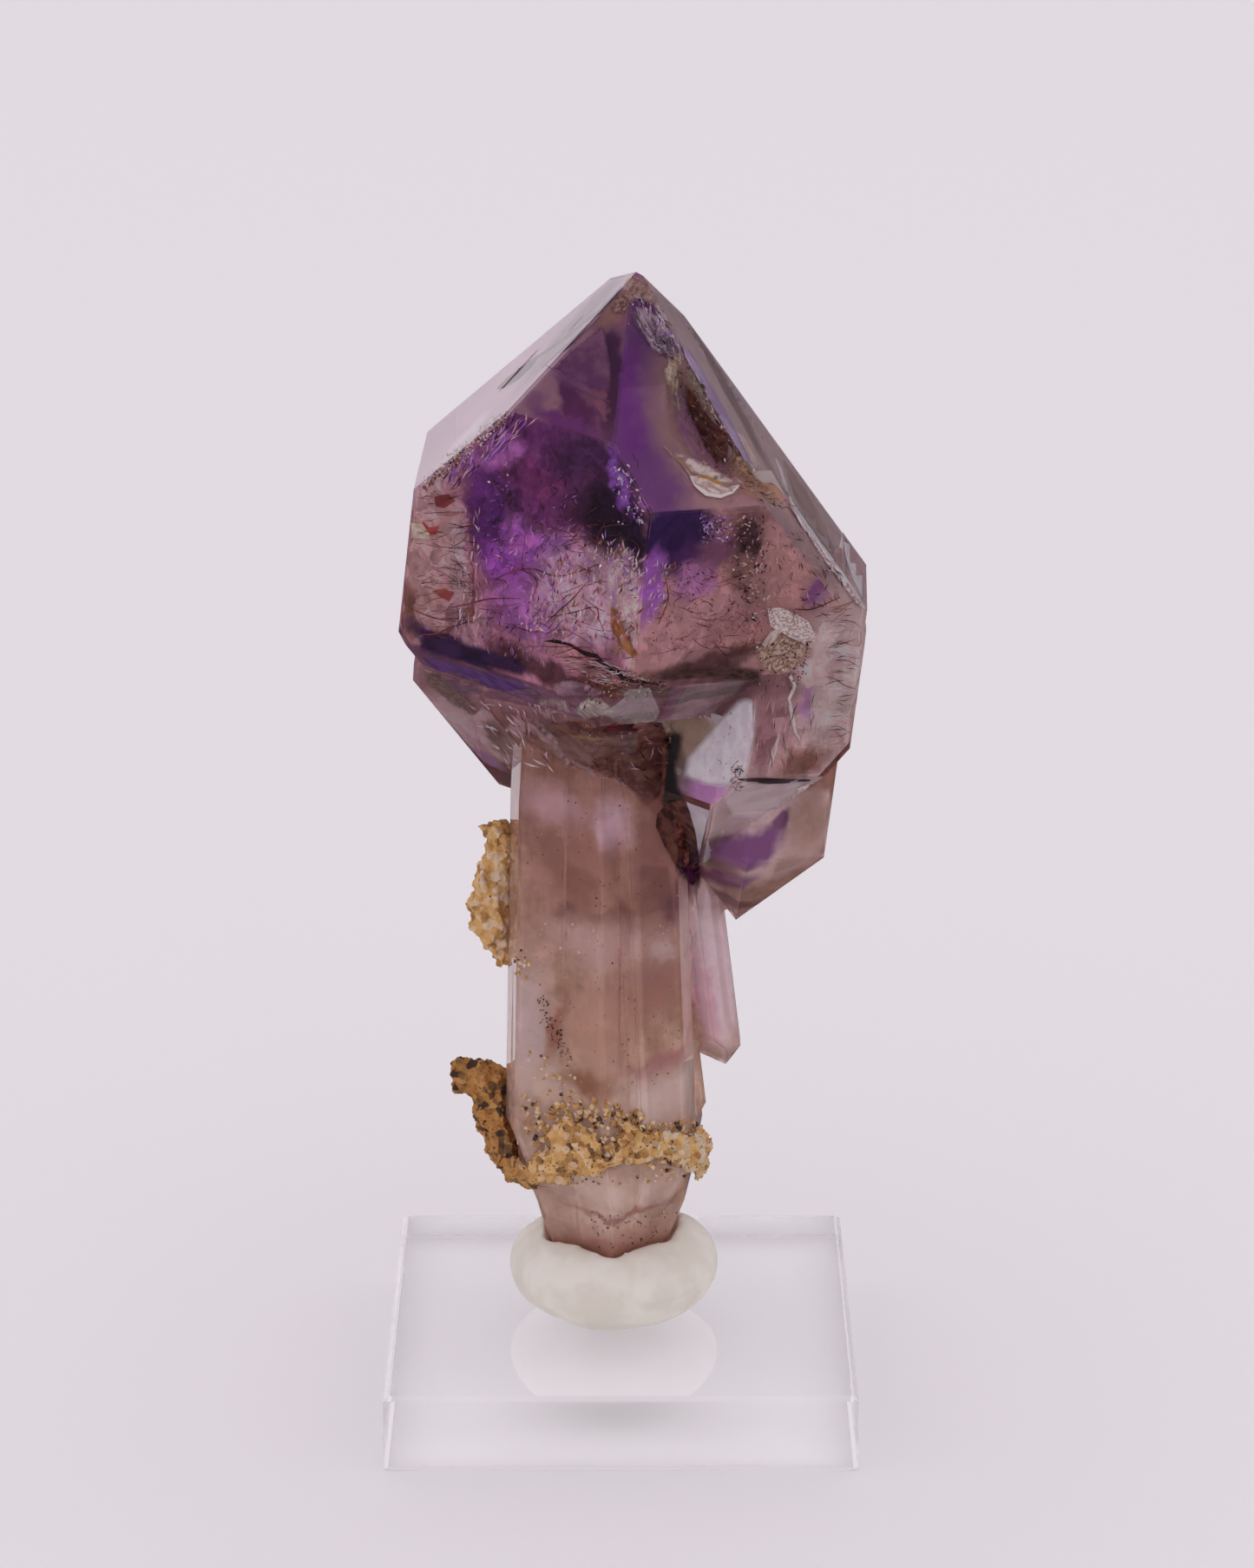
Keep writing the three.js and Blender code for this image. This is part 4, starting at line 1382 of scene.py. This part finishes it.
# %% Leaves in the small crystals
SMALL_LEAVES = [
    # Painted light: a white sheet for the light that shines through the window from behind.
    ("painted light through the window", (255, 246, 250), (232, 212, 226), (2.6, 0.8), 70, FADED,
     [(852, 802), (874, 802), (872, 850), (866, 882), (860, 904), (836, 910), (812, 908),
      (784, 896), (788, 872), (808, 850), (830, 824)]),
    # Painted shadow: a black sheet where the small crystal's side face left of the window lies in
    # shade.
    ("painted shadow left of the window", (44, 38, 38), (22, 18, 20), EVEN, 80, FADED,
     [(758, 852), (774, 840), (792, 842), (788, 862), (783, 882), (785, 904), (794, 922),
      (786, 934), (762, 932), (754, 890)]),
    ("crystal's white triangle", (252, 242, 248), (224, 206, 224), EVEN, -76, SHARP,
     [(791, 924), (818, 934), (812, 958), (805, 988), (799, 966), (796, 944)]),
    ("crystal's dark floor", (104, 60, 50), (60, 28, 26), (1.6, 0.8), -60, SHARP,
     [(757, 938), (768, 926), (784, 922), (793, 930), (801, 956), (805, 986), (804, 1006),
      (798, 1021), (780, 1000), (766, 976), (756, 954)]),
    ("crystal's purple foot", (76, 32, 60), (48, 20, 40), EVEN, 80, FADED,
     [(788, 978), (808, 976), (814, 1004), (808, 1028), (784, 1018), (774, 998)]),
    ("crystal's mauve face", (236, 206, 208), (212, 180, 184), EVEN, 20, FADED,
     [(842, 898), (940, 894), (922, 916), (900, 933), (872, 948), (840, 944), (828, 922)]),
    ("crystal's top line", (60, 46, 46), (40, 28, 30), EVEN, 0, SHARP,
     band([(850, 898), (880, 900), (908, 900), (934, 899)], [2, 7, 5, 1.5])),
    ("crystal's pale chip", (232, 218, 214), (190, 166, 162), (1.0, 0.3), 40, SHARP,
     band([(914, 918), (926, 908), (937, 900)], [1.5, 5, 2])),
]
print(len(SMALL_LEAVES), "leaves in the small crystals")

# %% Leaves along the rim and in the sides
SIDE_LEAVES = [
    ("violet band", (52, 28, 62), (32, 18, 42), EVEN, -16, FADED,
     [(476, 738), (500, 728), (530, 737), (562, 744), (594, 755), (612, 768), (604, 783),
      (574, 776), (520, 763), (480, 753)]),
    ("purple rim facet", (130, 90, 112), (98, 66, 88), (2.5, 0.5), -14, FADED,
     [(484, 752), (520, 760), (576, 774), (630, 790), (636, 806), (604, 806), (560, 800),
      (520, 806), (500, 788)]),
    ("violet rim corner", (100, 58, 122), (74, 42, 96), (3.0, 0.6), -14, SHARP,
     [(486, 758), (520, 764), (556, 774), (596, 785), (612, 794), (584, 796), (546, 790),
      (508, 778)]),
    ("mauve rim facet", (156, 116, 130), (120, 82, 98), EVEN, 4, SOFT,
     [(632, 789), (653, 781), (676, 785), (702, 799), (690, 806), (660, 806), (640, 804)]),
    ("dark rim facet", (112, 82, 78), (84, 58, 56), (3.0, 0.4), 0, SOFT,
     [(704, 799), (721, 787), (760, 790), (846, 786), (812, 798), (780, 808), (740, 806)]),
    ("lip", (178, 144, 140), (132, 98, 100), (0.25, 2.5), 10, SOFT,
     [(604, 807), (636, 802), (658, 804), (656, 820), (634, 827), (616, 816)]),
    ("lip's lens", (204, 182, 172), (140, 118, 110), (0.8, 0.5), 0, SOFT,
     [(656, 819), (674, 803), (692, 804), (706, 812), (716, 821), (692, 829), (674, 832)]),
    ("dark crack", (44, 20, 16), (20, 8, 8), GRAINY, -30, SHARP,
     band([(626, 739), (640, 739), (657, 743), (672, 752), (687, 757), (697, 767), (708, 772),
           (718, 781), (730, 785), (748, 787), (768, 791)],
          [1, 4, 3, 5, 7, 4, 7, 5, 4, 3, 1])),
    ("crack's far part", (74, 50, 44), (34, 22, 22), (3.0, 0.3), 0, FADED,
     [(748, 774), (800, 768), (848, 764), (884, 770), (876, 790), (840, 788), (800, 787),
      (760, 788)]),
    ("rusty inclusion", (172, 112, 70), (120, 68, 44), (1.5, 0.4), -64, SHARP,
     [(704, 700), (712, 704), (722, 732), (736, 755), (728, 757), (714, 744), (704, 722)]),
    ("rust stain", (164, 112, 74), (124, 76, 54), GRAINY, 30, SOFT,
     [(700, 738), (716, 744), (728, 758), (712, 756), (702, 750)]),
    ("red blotch", (164, 62, 58), (140, 50, 50), EVEN, 20, SHARP,
     [(487, 600), (494, 608), (506, 606), (502, 616), (492, 618), (486, 610)]),
    ("low red blotch", (150, 72, 66), (130, 58, 56), EVEN, 20, SHARP,
     [(498, 681), (512, 677), (524, 683), (517, 693), (508, 688)]),
    ("high red blotch", (130, 58, 56), (104, 46, 48), EVEN, 20, SHARP,
     [(500, 573), (516, 568), (524, 577), (512, 586), (502, 584)]),
    ("cream slab", (216, 194, 172), (176, 148, 130), (2.0, 0.3), 0, SHARP,
     [(474, 603), (486, 603), (494, 614), (496, 622), (474, 620)]),
    ("lilac column", (152, 104, 186), (92, 54, 128), (0.5, 0.3), -60, SOFT,
     [(707, 541), (714, 538), (724, 551), (720, 560), (726, 570), (721, 575), (711, 560)]),
]
print(len(SIDE_LEAVES), "leaves in the sides")

# %% Leaves at the neck, and all leaves laid
NECK_LEAVES = [
    ("left crystal's brown", (140, 106, 98), (100, 72, 68), GRAINY, -40, SOFT,
     [(486, 766), (510, 778), (540, 804), (562, 816), (545, 828), (515, 810), (490, 788)]),
    # The red brown and dark red leaves of the neck are stain darkened by painted shade under the
    # head's lip.
    ("neck's red-brown stain in painted shade", (118, 76, 66), (86, 50, 46), (1.6, 0.9), -20, SOFT,
     [(612, 834), (650, 830), (700, 822), (764, 826), (772, 860), (768, 904), (756, 926),
      (728, 912), (700, 896), (668, 884), (636, 862)]),
    ("neck's darkest red in painted shade", (84, 30, 32), (56, 20, 24), EVEN, 0, SOFT,
     [(686, 838), (706, 830), (734, 824), (738, 844), (724, 854), (700, 850)]),
    ("neck's gold", (150, 108, 62), (110, 72, 44), (1.0, 0.4), -20, SHARP,
     band([(640, 836), (660, 848), (684, 852), (706, 852)], [1, 3, 3, 1])),
    ("neck's pale streak", (190, 150, 150), (156, 118, 118), (2.0, 0.6), -54, SOFT,
     [(608, 824), (622, 826), (640, 848), (658, 874), (668, 896), (654, 888), (632, 862)]),
]
LEAVES = TIP_LEAVES + RIGHT_LEAVES + SMALL_LEAVES + SIDE_LEAVES + NECK_LEAVES

leaves = Draft()
leaf_paints = []
for slot, (name, light, dark, size, turn, edge, outline) in enumerate(LEAVES):
    lay_leaf(leaves, outline, LEAF_DEPTH - slot * LEAF_STEP, slot)
    leaf_paints.append(leaf_paint(name, light, dark, size, turn, edge))
leaves.build("leaves", *leaf_paints, smooth=False)

# %% [markdown]
# ## Wisps and crumbs
#
# Between the larger flaws the stone is full of tiny pale wisps, brown crumbs and dark slits.
# Each is a short bent sliver under the face. They lie in fields, and each field has its own
# main direction and mix of colours. Noise in the paint would be lighter, but its specks would
# be blurred and alike.

# %% Scatter the slivers
WISP_TONES = [
    ("white wisp", (246, 232, 240), (214, 190, 204)),
    ("pink wisp", (232, 168, 186), (196, 126, 148)),
    ("lilac wisp", (182, 118, 216), (132, 74, 164)),
    ("brown crumb", (146, 98, 78), (96, 56, 44)),
    ("dark slit", (58, 32, 34), (30, 14, 20)),
    ("cream crumb", (220, 192, 168), (176, 144, 122)),
    ("rust thread", (150, 62, 50), (104, 40, 36)),
]
WHITE, PINK, LILAC, BROWN, DARK, CREAMY, RUST = range(len(WISP_TONES))
WISP_FIELDS = [
    (band([(484, 562), (532, 522), (587, 476)], [12, 16, 10]), 330, (2, 7), (1, 3), 40, 60,
     (CREAMY, BROWN, DARK, PINK, BROWN, WHITE)),
    (band([(510, 560), (560, 520), (604, 488)], [26, 24, 10]), 90, (6, 26), (0.8, 2.4), 50, 14,
     (LILAC, LILAC, DARK, PINK)),
    ([(706, 534), (722, 540), (742, 580), (744, 606), (732, 600), (712, 566)], 80, (2, 8),
     (0.8, 2.2), -60, 30, (WHITE, LILAC, LILAC, WHITE)),
    ([(476, 570), (530, 560), (540, 735), (478, 735)], 120, (6, 26), (0.5, 1.4), 0, 12,
     (BROWN, DARK, BROWN, PINK)),
    ([(516, 590), (552, 590), (560, 740), (520, 740)], 110, (4, 18), (0.6, 2.0), 84, 16,
     (WHITE, PINK, PINK, BROWN)),
    ([(548, 560), (640, 540), (700, 600), (640, 650), (560, 640)], 150, (3, 12), (0.5, 1.6), 50,
     50, (LILAC, DARK, DARK, LILAC)),
    ([(556, 630), (650, 600), (690, 640), (640, 720), (560, 720)], 170, (3, 14), (0.6, 2.0), 70,
     40, (LILAC, LILAC, PINK, DARK)),
    ([(620, 660), (700, 620), (736, 640), (736, 750), (640, 740), (600, 735)], 400, (3, 14),
     (0.8, 3.0), 78, 34, (WHITE, PINK, PINK, PINK, PINK, LILAC, BROWN, RUST)),
    ([(700, 640), (738, 640), (738, 700), (706, 700)], 90, (4, 16), (0.8, 2.4), 66, 24,
     (WHITE, WHITE, PINK, LILAC)),
    ([(744, 650), (770, 650), (768, 700), (744, 730)], 60, (4, 12), (0.8, 2.4), 70, 30,
     (WHITE, LILAC, PINK)),
    ([(770, 650), (860, 640), (880, 740), (780, 756), (745, 740)], 430, (2, 8), (0.5, 1.8), 30,
     70, (PINK, BROWN, BROWN, DARK, BROWN, RUST)),
    ([(806, 596), (842, 594), (840, 624), (812, 628)], 90, (2, 8), (0.8, 2.2), 10, 60,
     (WHITE, LILAC, DARK, LILAC)),
    ([(844, 596), (884, 596), (882, 660), (856, 690), (846, 650)], 130, (2, 9), (0.8, 3.4), 70,
     60, (DARK, DARK, BROWN, BROWN, CREAMY, PINK)),
    ([(850, 660), (880, 650), (890, 720), (856, 724)], 70, (2, 8), (0.6, 2.4), 80, 60,
     (DARK, BROWN, BROWN, CREAMY)),
    ([(884, 600), (930, 610), (975, 670), (940, 720), (890, 690)], 130, (4, 16), (0.5, 1.6), -50,
     30, (BROWN, PINK, DARK)),
    ([(945, 700), (996, 706), (984, 860), (950, 870)], 130, (8, 30), (0.5, 1.2), 4, 10,
     (BROWN, PINK, DARK, WHITE)),
    ([(864, 740), (936, 740), (925, 790), (875, 790)], 150, (1.5, 4), (1, 2.6), 0, 80,
     (BROWN, DARK, DARK, BROWN)),
    ([(640, 752), (700, 764), (740, 780), (700, 790), (650, 780)], 120, (6, 24), (0.5, 1.2), -8,
     8, (PINK, BROWN, WHITE, DARK)),
    ([(668, 780), (720, 772), (772, 786), (760, 800), (690, 812)], 170, (2, 7), (0.8, 2.4), 20,
     60, (BROWN, BROWN, DARK, CREAMY)),
    ([(560, 700), (640, 730), (640, 775), (540, 750)], 90, (3, 16), (0.5, 1.4), 70, 20,
     (PINK, DARK, LILAC)),
    ([(604, 807), (656, 804), (652, 826), (618, 820)], 50, (8, 16), (0.5, 1.1), -66, 6,
     (WHITE, PINK)),
    ([(816, 820), (862, 812), (854, 900), (812, 900)], 60, (2, 8), (0.5, 1.2), 50, 60,
     (DARK, WHITE, PINK)),
    ([(842, 880), (856, 884), (852, 912), (840, 912)], 50, (2, 6), (0.6, 1.6), 60, 50,
     (DARK, BROWN)),
    ([(866, 800), (940, 800), (940, 890), (870, 890)], 60, (8, 26), (0.4, 1.3), 84, 10,
     (PINK, BROWN, PINK, DARK)),
    (band([(622, 1150), (636, 1184), (656, 1226)], [8, 14, 10]), 90, (1.5, 5), (1, 3), 60, 60,
     (BROWN, DARK, BROWN)),
    ([(600, 1060), (790, 1066), (790, 1110), (610, 1110)], 50, (1.5, 5), (1, 4), 0, 80,
     (WHITE, CREAMY, PINK)),
    ([(606, 1100), (790, 1100), (780, 1260), (610, 1260)], 90, (1, 5), (0.8, 2.4), 0, 80,
     (BROWN, BROWN, CREAMY)),
    # This field is a painted highlight: white slivers for a thin pale streak down the spear's left
    # edge.
    ([(796, 1080), (802, 1080), (802, 1142), (798, 1142)], 16, (12, 26), (1, 2), 88, 4, (WHITE,)),
    ([(670, 1396), (782, 1396), (760, 1442), (688, 1442)], 90, (1.5, 6), (1, 3), 0, 60,
     (BROWN, BROWN, DARK, CREAMY)),
    ([(600, 920), (790, 930), (790, 1060), (606, 1050)], 60, (1, 5), (0.8, 2.4), 0, 80,
     (BROWN, PINK, DARK)),
    ([(500, 800), (600, 810), (640, 880), (570, 880)], 60, (6, 24), (1.0, 3.0), -50, 20,
     (PINK, BROWN, WHITE)),
    ([(660, 820), (760, 820), (760, 900), (680, 900)], 90, (4, 18), (0.8, 2.4), -20, 40,
     (BROWN, DARK, PINK)),
    ([(724, 334), (760, 350), (784, 400), (770, 410), (744, 396)], 110, (3, 14), (0.5, 1.6), -60,
     20, (PINK, DARK, WHITE, LILAC)),
    ([(770, 404), (790, 410), (842, 500), (838, 540), (800, 500)], 110, (2, 8), (0.6, 2.0), -60,
     40, (BROWN, CREAMY, DARK, BROWN)),
    ([(846, 545), (912, 582), (900, 590), (850, 560)], 60, (3, 10), (0.5, 1.6), -30, 20,
     (BROWN, CREAMY, DARK)),
]
WISP_DEPTHS = (0.06 * MM, 0.18 * MM)
WISP_BEND = 14


def point_in(outline):
    """A random point inside an outline."""
    corners = [Vector(corner) for corner in outline]
    left, right, top, bottom = box_of(corners)
    while True:
        point = Vector((chance.uniform(left, right), chance.uniform(top, bottom)))
        if is_inside(point, corners):
            return point


def sliver(draft, start, length, width, heading, slot):
    """A short bent sliver, pointed at both ends."""
    depth = chance.uniform(*WISP_DEPTHS)
    bend = math.radians(chance.gauss(0, WISP_BEND))
    line = [start]
    for turn in (heading, heading + bend):
        line.append(line[-1] + Vector((math.cos(turn), -math.sin(turn))) * (length / 2))
    side = Vector((math.sin(heading), math.cos(heading))) * (width / 2)
    corners = [line[0], line[1] + side, line[2], line[1] - side]
    places = [under(corner.x, corner.y, depth) for corner in corners]
    if None not in places and (places[0] - places[2]).length < LEAF_LONGEST:
        draft.add(places, [(0, 1, 3), (1, 2, 3)], slot)


wisps = Draft()
for outline, count, lengths, widths, heading, spread, tones in WISP_FIELDS:
    for _ in range(count):
        sliver(wisps, point_in(outline), chance.uniform(*lengths), chance.uniform(*widths),
               math.radians(chance.gauss(heading, spread)), chance.choice(tones))
wisp_paints = [leaf_paint(*tone, EVEN, 0, SHARP) for tone in WISP_TONES]
wisps.build("wisps", *wisp_paints, smooth=False)

# %% [markdown]
# ## Sparkles
#
# Tiny healed cracks throw back the light in points and short dashes. Small flat flakes of
# metal do the same, because each one faces its own way. White dots would shine the same from
# every side.

# %% Sparkles in their fields
SPARKLE_FIELDS = [
    ((706, 742, 535, 604), 28, 7),
    ((806, 842, 594, 626), 40, 8),
    ((840, 882, 596, 715), 30, 7),
    ((482, 585, 474, 560), 60, 7),
    ((560, 700, 600, 760), 24, 6),
    ((690, 735, 640, 690), 24, 9),
    ((870, 930, 735, 790), 30, 6),
    ((722, 790, 330, 415), 20, 6),
    ((796, 850, 478, 536), 14, 9),
]
SPARKLE_DEPTHS = (0.1 * MM, 0.3 * MM)
SPARKLE_SIZES = (0.12, 0.36)
FLAKE_TILT = 0.8
FLAKE_WIDTHS = (0.25, 0.7)
FLAKE_TAIL = 0.8
FLAKE_HALF_THICK = 0.012 * MM


def flake(draft, place, reach):
    """A thin leaf of four corners that faces a random way near the viewer's."""
    tilt = Vector([chance.uniform(-FLAKE_TILT, FLAKE_TILT) for _ in range(3)])
    facing = (-AHEAD + tilt).normalized()
    along = facing.orthogonal().normalized()
    along.rotate(Matrix.Rotation(chance.uniform(0, 2 * math.pi), 3, facing))
    across = facing.cross(along)
    wide = reach * chance.uniform(*FLAKE_WIDTHS)
    thick = facing * FLAKE_HALF_THICK
    ring = [along * reach, across * wide, -along * reach * FLAKE_TAIL, -across * wide]
    points = [place + corner + side for side in (thick, -thick) for corner in ring]
    faces = [(0, 1, 2, 3), (7, 6, 5, 4)]
    for corner in range(4):
        following = (corner + 1) % 4
        faces.append((corner, corner + 4, following + 4, following))
    draft.add(points, faces)


sparkles = Draft()
for (left, right, top, bottom), count, reach in SPARKLE_FIELDS:
    for _ in range(count):
        px, py = chance.uniform(left, right), chance.uniform(top, bottom)
        place = under(px, py, chance.uniform(*SPARKLE_DEPTHS))
        if place is not None:
            flake(sparkles, place, reach / PX_PER_MM * MM * chance.uniform(*SPARKLE_SIZES))
mirror = material_with(
    "sparkles", Base_Color=(0.93, 0.86, 0.96, 1), Metallic=1.0, Roughness=0.3)[0]
sparkles.build("sparkles", mirror, smooth=False)

# %% [markdown]
# ## Putty
#
# The putty is one smooth, slightly sagging bead. The CAD's bead is coarse, so it's remeshed
# fine, relaxed, and given shallow finger dents and a crease, all pressed inward. Dents in the
# material alone would leave its outline round.

# %% Make the putty
PUTTY_VOXEL = 0.3 * MM
BLOCK_TOP = 6.5 * MM
DENT_MM = 0.18
DENT_RANGE = (0.0, 0.5)
BROAD_DENTS = 0.32
SMALL_DENTS = 0.9
BROAD_SHARE = 0.7
CREASE_LINE = [(716, 1497), (745, 1507), (780, 1503), (804, 1488)]
CREASE_STEPS = 20
CREASE_MM = 0.3
CREASE_CORE = 0.1
CREASE_REACH = 0.7


def smooth_share(value, low, high):
    """0 below low, 1 above high, smooth between."""
    share = min(max((value - low) / (high - low), 0.0), 1.0)
    return share * share * (3 - 2 * share)


def replace_node(piece, name):
    """The piece rides with the part and stands in for a CAD node, which is hidden."""
    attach(piece, BODY)
    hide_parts(name)


putty = evaluated_copy(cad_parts["putty"], "putty_bead",
                       ("REMESH", {"mode": "VOXEL", "voxel_size": PUTTY_VOXEL}),
                       ("SMOOTH", {"factor": 0.8, "iterations": 12}))
bead = tree_of("putty")
crease = [bead.ray_cast(CAMERA_PLACE, photo_ray(*point))[0] / MM
          for point in smooth_path(CREASE_LINE, CREASE_STEPS)]


def finger_dents(place):
    """How deep the putty is pressed in at a place."""
    dents = (noise.noise(place * BROAD_DENTS) * BROAD_SHARE
             + noise.noise(place * SMALL_DENTS) * (1 - BROAD_SHARE))
    distance = min((place - point).length for point in crease)
    fold = CREASE_MM * (1 - smooth_share(distance, CREASE_CORE, CREASE_REACH))
    return DENT_MM * smooth_share(dents, *DENT_RANGE) + fold


press(putty.data, finger_dents)
for vertex in putty.data.vertices:
    vertex.co.z = max(vertex.co.z, BLOCK_TOP)
putty.data.shade_smooth()
replace_node(putty, "putty")
putty.data.materials.append(two_tone_paint(
    "putty", (0.79, 0.75, 0.65), (0.87, 0.84, 0.75), scale=0.3, Roughness=0.55,
    Subsurface_Weight=0.15, Subsurface_Scale=0.002, Subsurface_Radius=(1.0, 0.8, 0.6)))
print("putty has", len(putty.data.polygons), "faces")

# %% [markdown]
# ## Matrix
#
# The rusty rock on the stem is a crust of small grains in every shade from cream through
# golden ochre to dark brown. Its CAD solids are remeshed very finely, and noise of three sizes
# presses pits and grains into them, so that they stay inside the CAD's shape. A bump in the
# material adds only what is finer than the mesh.

# %% Helpers that make the matrix
MATRIX_VOXEL = 0.14 * MM
PIT_MM = 0.34
PIT_SCALE = 0.9
PIT_RANGE = (-0.1, 0.5)
GRAIN_MM = 0.22
GRAIN_SCALE = 1.6
GRAIN_RANGE = (0.15, 0.75)
CRUMB_MM = 0.10
CRUMB_SCALE = 5.0
CRUMB_RANGE = (-0.4, 0.5)


def rock_pits(place):
    """How deep pits and the gaps between grains go at a place."""
    pit = smooth_share(noise.noise(place * PIT_SCALE), *PIT_RANGE)
    distances, _ = noise.voronoi(place * GRAIN_SCALE)
    grain = smooth_share(distances[0], *GRAIN_RANGE)
    crumb = smooth_share(noise.noise(place * CRUMB_SCALE), *CRUMB_RANGE)
    return PIT_MM * pit + GRAIN_MM * grain + CRUMB_MM * crumb


def grainy(source_name, name):
    """A fine copy of a matrix node with pits and grains pressed into it."""
    piece = evaluated_copy(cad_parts[source_name], name,
                           ("REMESH", {"mode": "VOXEL", "voxel_size": MATRIX_VOXEL}),
                           ("SMOOTH", {"factor": 0.7, "iterations": 4}))
    press(piece.data, rock_pits)
    piece.data.shade_smooth()
    replace_node(piece, source_name)
    print(name, "has", len(piece.data.polygons), "faces")
    return piece


# %% Paint and make the matrix
CREAM = (0.74, 0.56, 0.40)
BONE = (0.60, 0.49, 0.34)
LIGHT_GOLD = (0.74, 0.45, 0.17)
GOLD = (0.56, 0.31, 0.10)
RUSTY = (0.50, 0.22, 0.05)
OCHRE = (0.36, 0.18, 0.055)
DARK_BROWN = (0.07, 0.035, 0.018)
SLAB_STOPS = [(0.34, DARK_BROWN), (0.46, OCHRE), (0.60, RUSTY), (0.82, GOLD)]
LUMP_STOPS = [(0.28, OCHRE), (0.40, GOLD), (0.56, LIGHT_GOLD), (0.74, CREAM)]
CRUST_STOPS = [(0.28, DARK_BROWN), (0.36, OCHRE), (0.46, GOLD), (0.62, LIGHT_GOLD), (0.8, CREAM)]
PALE_STOPS = [(0.30, OCHRE), (0.40, GOLD), (0.52, LIGHT_GOLD), (0.66, BONE), (0.8, CREAM)]
FAR_LEFT = (-9.5, -6.5)
FAR_RIGHT = (0.4, 3.0)
CELL_SHARE = 0.45
DRIFT_SHARE = 0.6
DARK_EDGE = 0.12
BUMP_HEIGHT = 0.2 * MM


def paint_matrix(name, palettes, dark_from):
    """Grains in the shades of rusty rock, with colour stops for the left, middle and right."""
    material, tree, shader = material_with(name, Roughness=0.8)
    place = place_in_mm(tree)
    drift = cloud(tree, place, scale=0.35, detail=4.0)
    fine = cloud(tree, place, scale=3.5, detail=6.0)
    cells = maths(tree, "MULTIPLY", cell_shade(tree, place, GRAIN_SCALE), CELL_SHARE)
    blend = maths(tree, "ADD", cells, maths(tree, "MULTIPLY", drift, DRIFT_SHARE))
    left, middle, right = [ramp(tree, blend, stops) for stops in palettes]
    across = axis_of(tree, place, "X")
    colour = mix(tree, limits(tree, across, *FAR_LEFT), left, middle)
    colour = mix(tree, limits(tree, across, *FAR_RIGHT), colour, right)
    dark = limits(tree, fine, dark_from, dark_from + DARK_EDGE)
    colour = mix(tree, dark, colour, (*DARK_BROWN, 1))
    tree.links.new(colour, shader.inputs["Base Color"])
    bump = node(tree, "Bump", {"Strength": 0.5, "Distance": BUMP_HEIGHT, "Height": fine})
    tree.links.new(bump.outputs["Normal"], shader.inputs["Normal"])
    return material


lump_paint = paint_matrix("upper matrix", (LUMP_STOPS, LUMP_STOPS, LUMP_STOPS), 0.64)
crust_paint = paint_matrix("lower matrix", (SLAB_STOPS, CRUST_STOPS, PALE_STOPS), 0.58)
grainy("matrix_upper", "upper_lump").data.materials.append(lump_paint)
grainy("matrix_lower", "lower_crust").data.materials.append(crust_paint)

# %% [markdown]
# The crust thins out on the stem into loose grains. Each is a small angular lump, half sunk in
# the quartz, in one of three tones. A particle system could scatter them, but a loop makes real
# mesh, the same on each run.

# %% Scatter grains round the crust
GRAIN_FIELDS = [
    ([(612, 1318), (626, 1284), (650, 1264), (700, 1268), (742, 1284), (740, 1336), (650, 1350)],
     300, (2, 5.5)),
    ([(742, 1296), (790, 1290), (813, 1294), (812, 1342), (760, 1352), (738, 1340)], 150, (2, 5)),
    ([(600, 1262), (622, 1262), (626, 1304), (606, 1306)], 40, (1.5, 4)),
    ([(592, 1090), (610, 1090), (612, 1130), (594, 1130)], 20, (1.5, 3.5)),
    ([(640, 1352), (800, 1346), (800, 1362), (640, 1366)], 40, (1.5, 3)),
    ([(606, 1210), (660, 1216), (680, 1262), (612, 1262)], 36, (1, 3)),
]
GRAIN_TONES = [
    ("cream grain", (0.78, 0.60, 0.40), (0.62, 0.42, 0.22)),
    ("golden grain", (0.60, 0.36, 0.14), (0.44, 0.22, 0.07)),
    ("brown grain", (0.14, 0.07, 0.035), (0.07, 0.035, 0.02)),
]
GRAIN_CHOICE = (0, 0, 0, 1, 1, 1, 1, 2)
GRAIN_SINK = 0.05
GRAIN_PULL = (0.35, 0.75)
CUBE_CORNERS = [Vector((x, y, z)) for x in (-1, 1) for y in (-1, 1) for z in (-1, 1)]
CUBE_FACES = [(0, 1, 3, 2), (4, 6, 7, 5), (0, 4, 5, 1), (2, 3, 7, 6), (0, 2, 6, 4), (1, 5, 7, 3)]


def grain_lump(draft, place, reach, slot):
    """A small uneven lump with six faces, turned at random."""
    turn = Matrix.Rotation(chance.uniform(0, 2 * math.pi), 3,
                           Vector([chance.uniform(-1, 1) for _ in range(3)]).normalized())
    corners = []
    for corner in CUBE_CORNERS:
        pull = Vector([chance.uniform(*GRAIN_PULL) for _ in range(3)])
        corners.append(place + turn @ (corner * pull) * reach)
    draft.add(corners, CUBE_FACES, slot)


grains = Draft()
for outline, count, sizes in GRAIN_FIELDS:
    for _ in range(count):
        place, normal = on_stone(*point_in(outline))
        if place is None:
            continue
        reach = chance.uniform(*sizes) / PX_PER_MM * MM
        grain_lump(grains, place - normal * reach * GRAIN_SINK, reach,
                   chance.choice(GRAIN_CHOICE))
grain_paints = [two_tone_paint(*tone, scale=1.2, Roughness=0.8) for tone in GRAIN_TONES]
grains.build("crust_grains", *grain_paints, smooth=False)

# %% [markdown]
# ## The sizes at the end
#
# The dressed part is meant to stay inside the CAD's box, so both boxes are printed: the CAD's at
# the start and the dressed part's here.

# %% Write the sizes and finish
low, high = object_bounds()
{"cad": [list(cad_low), list(cad_high)], "visual": [list(low), list(high)]}
print("dressed box in mm", [round(side * 1000, 1) for side in high - low])
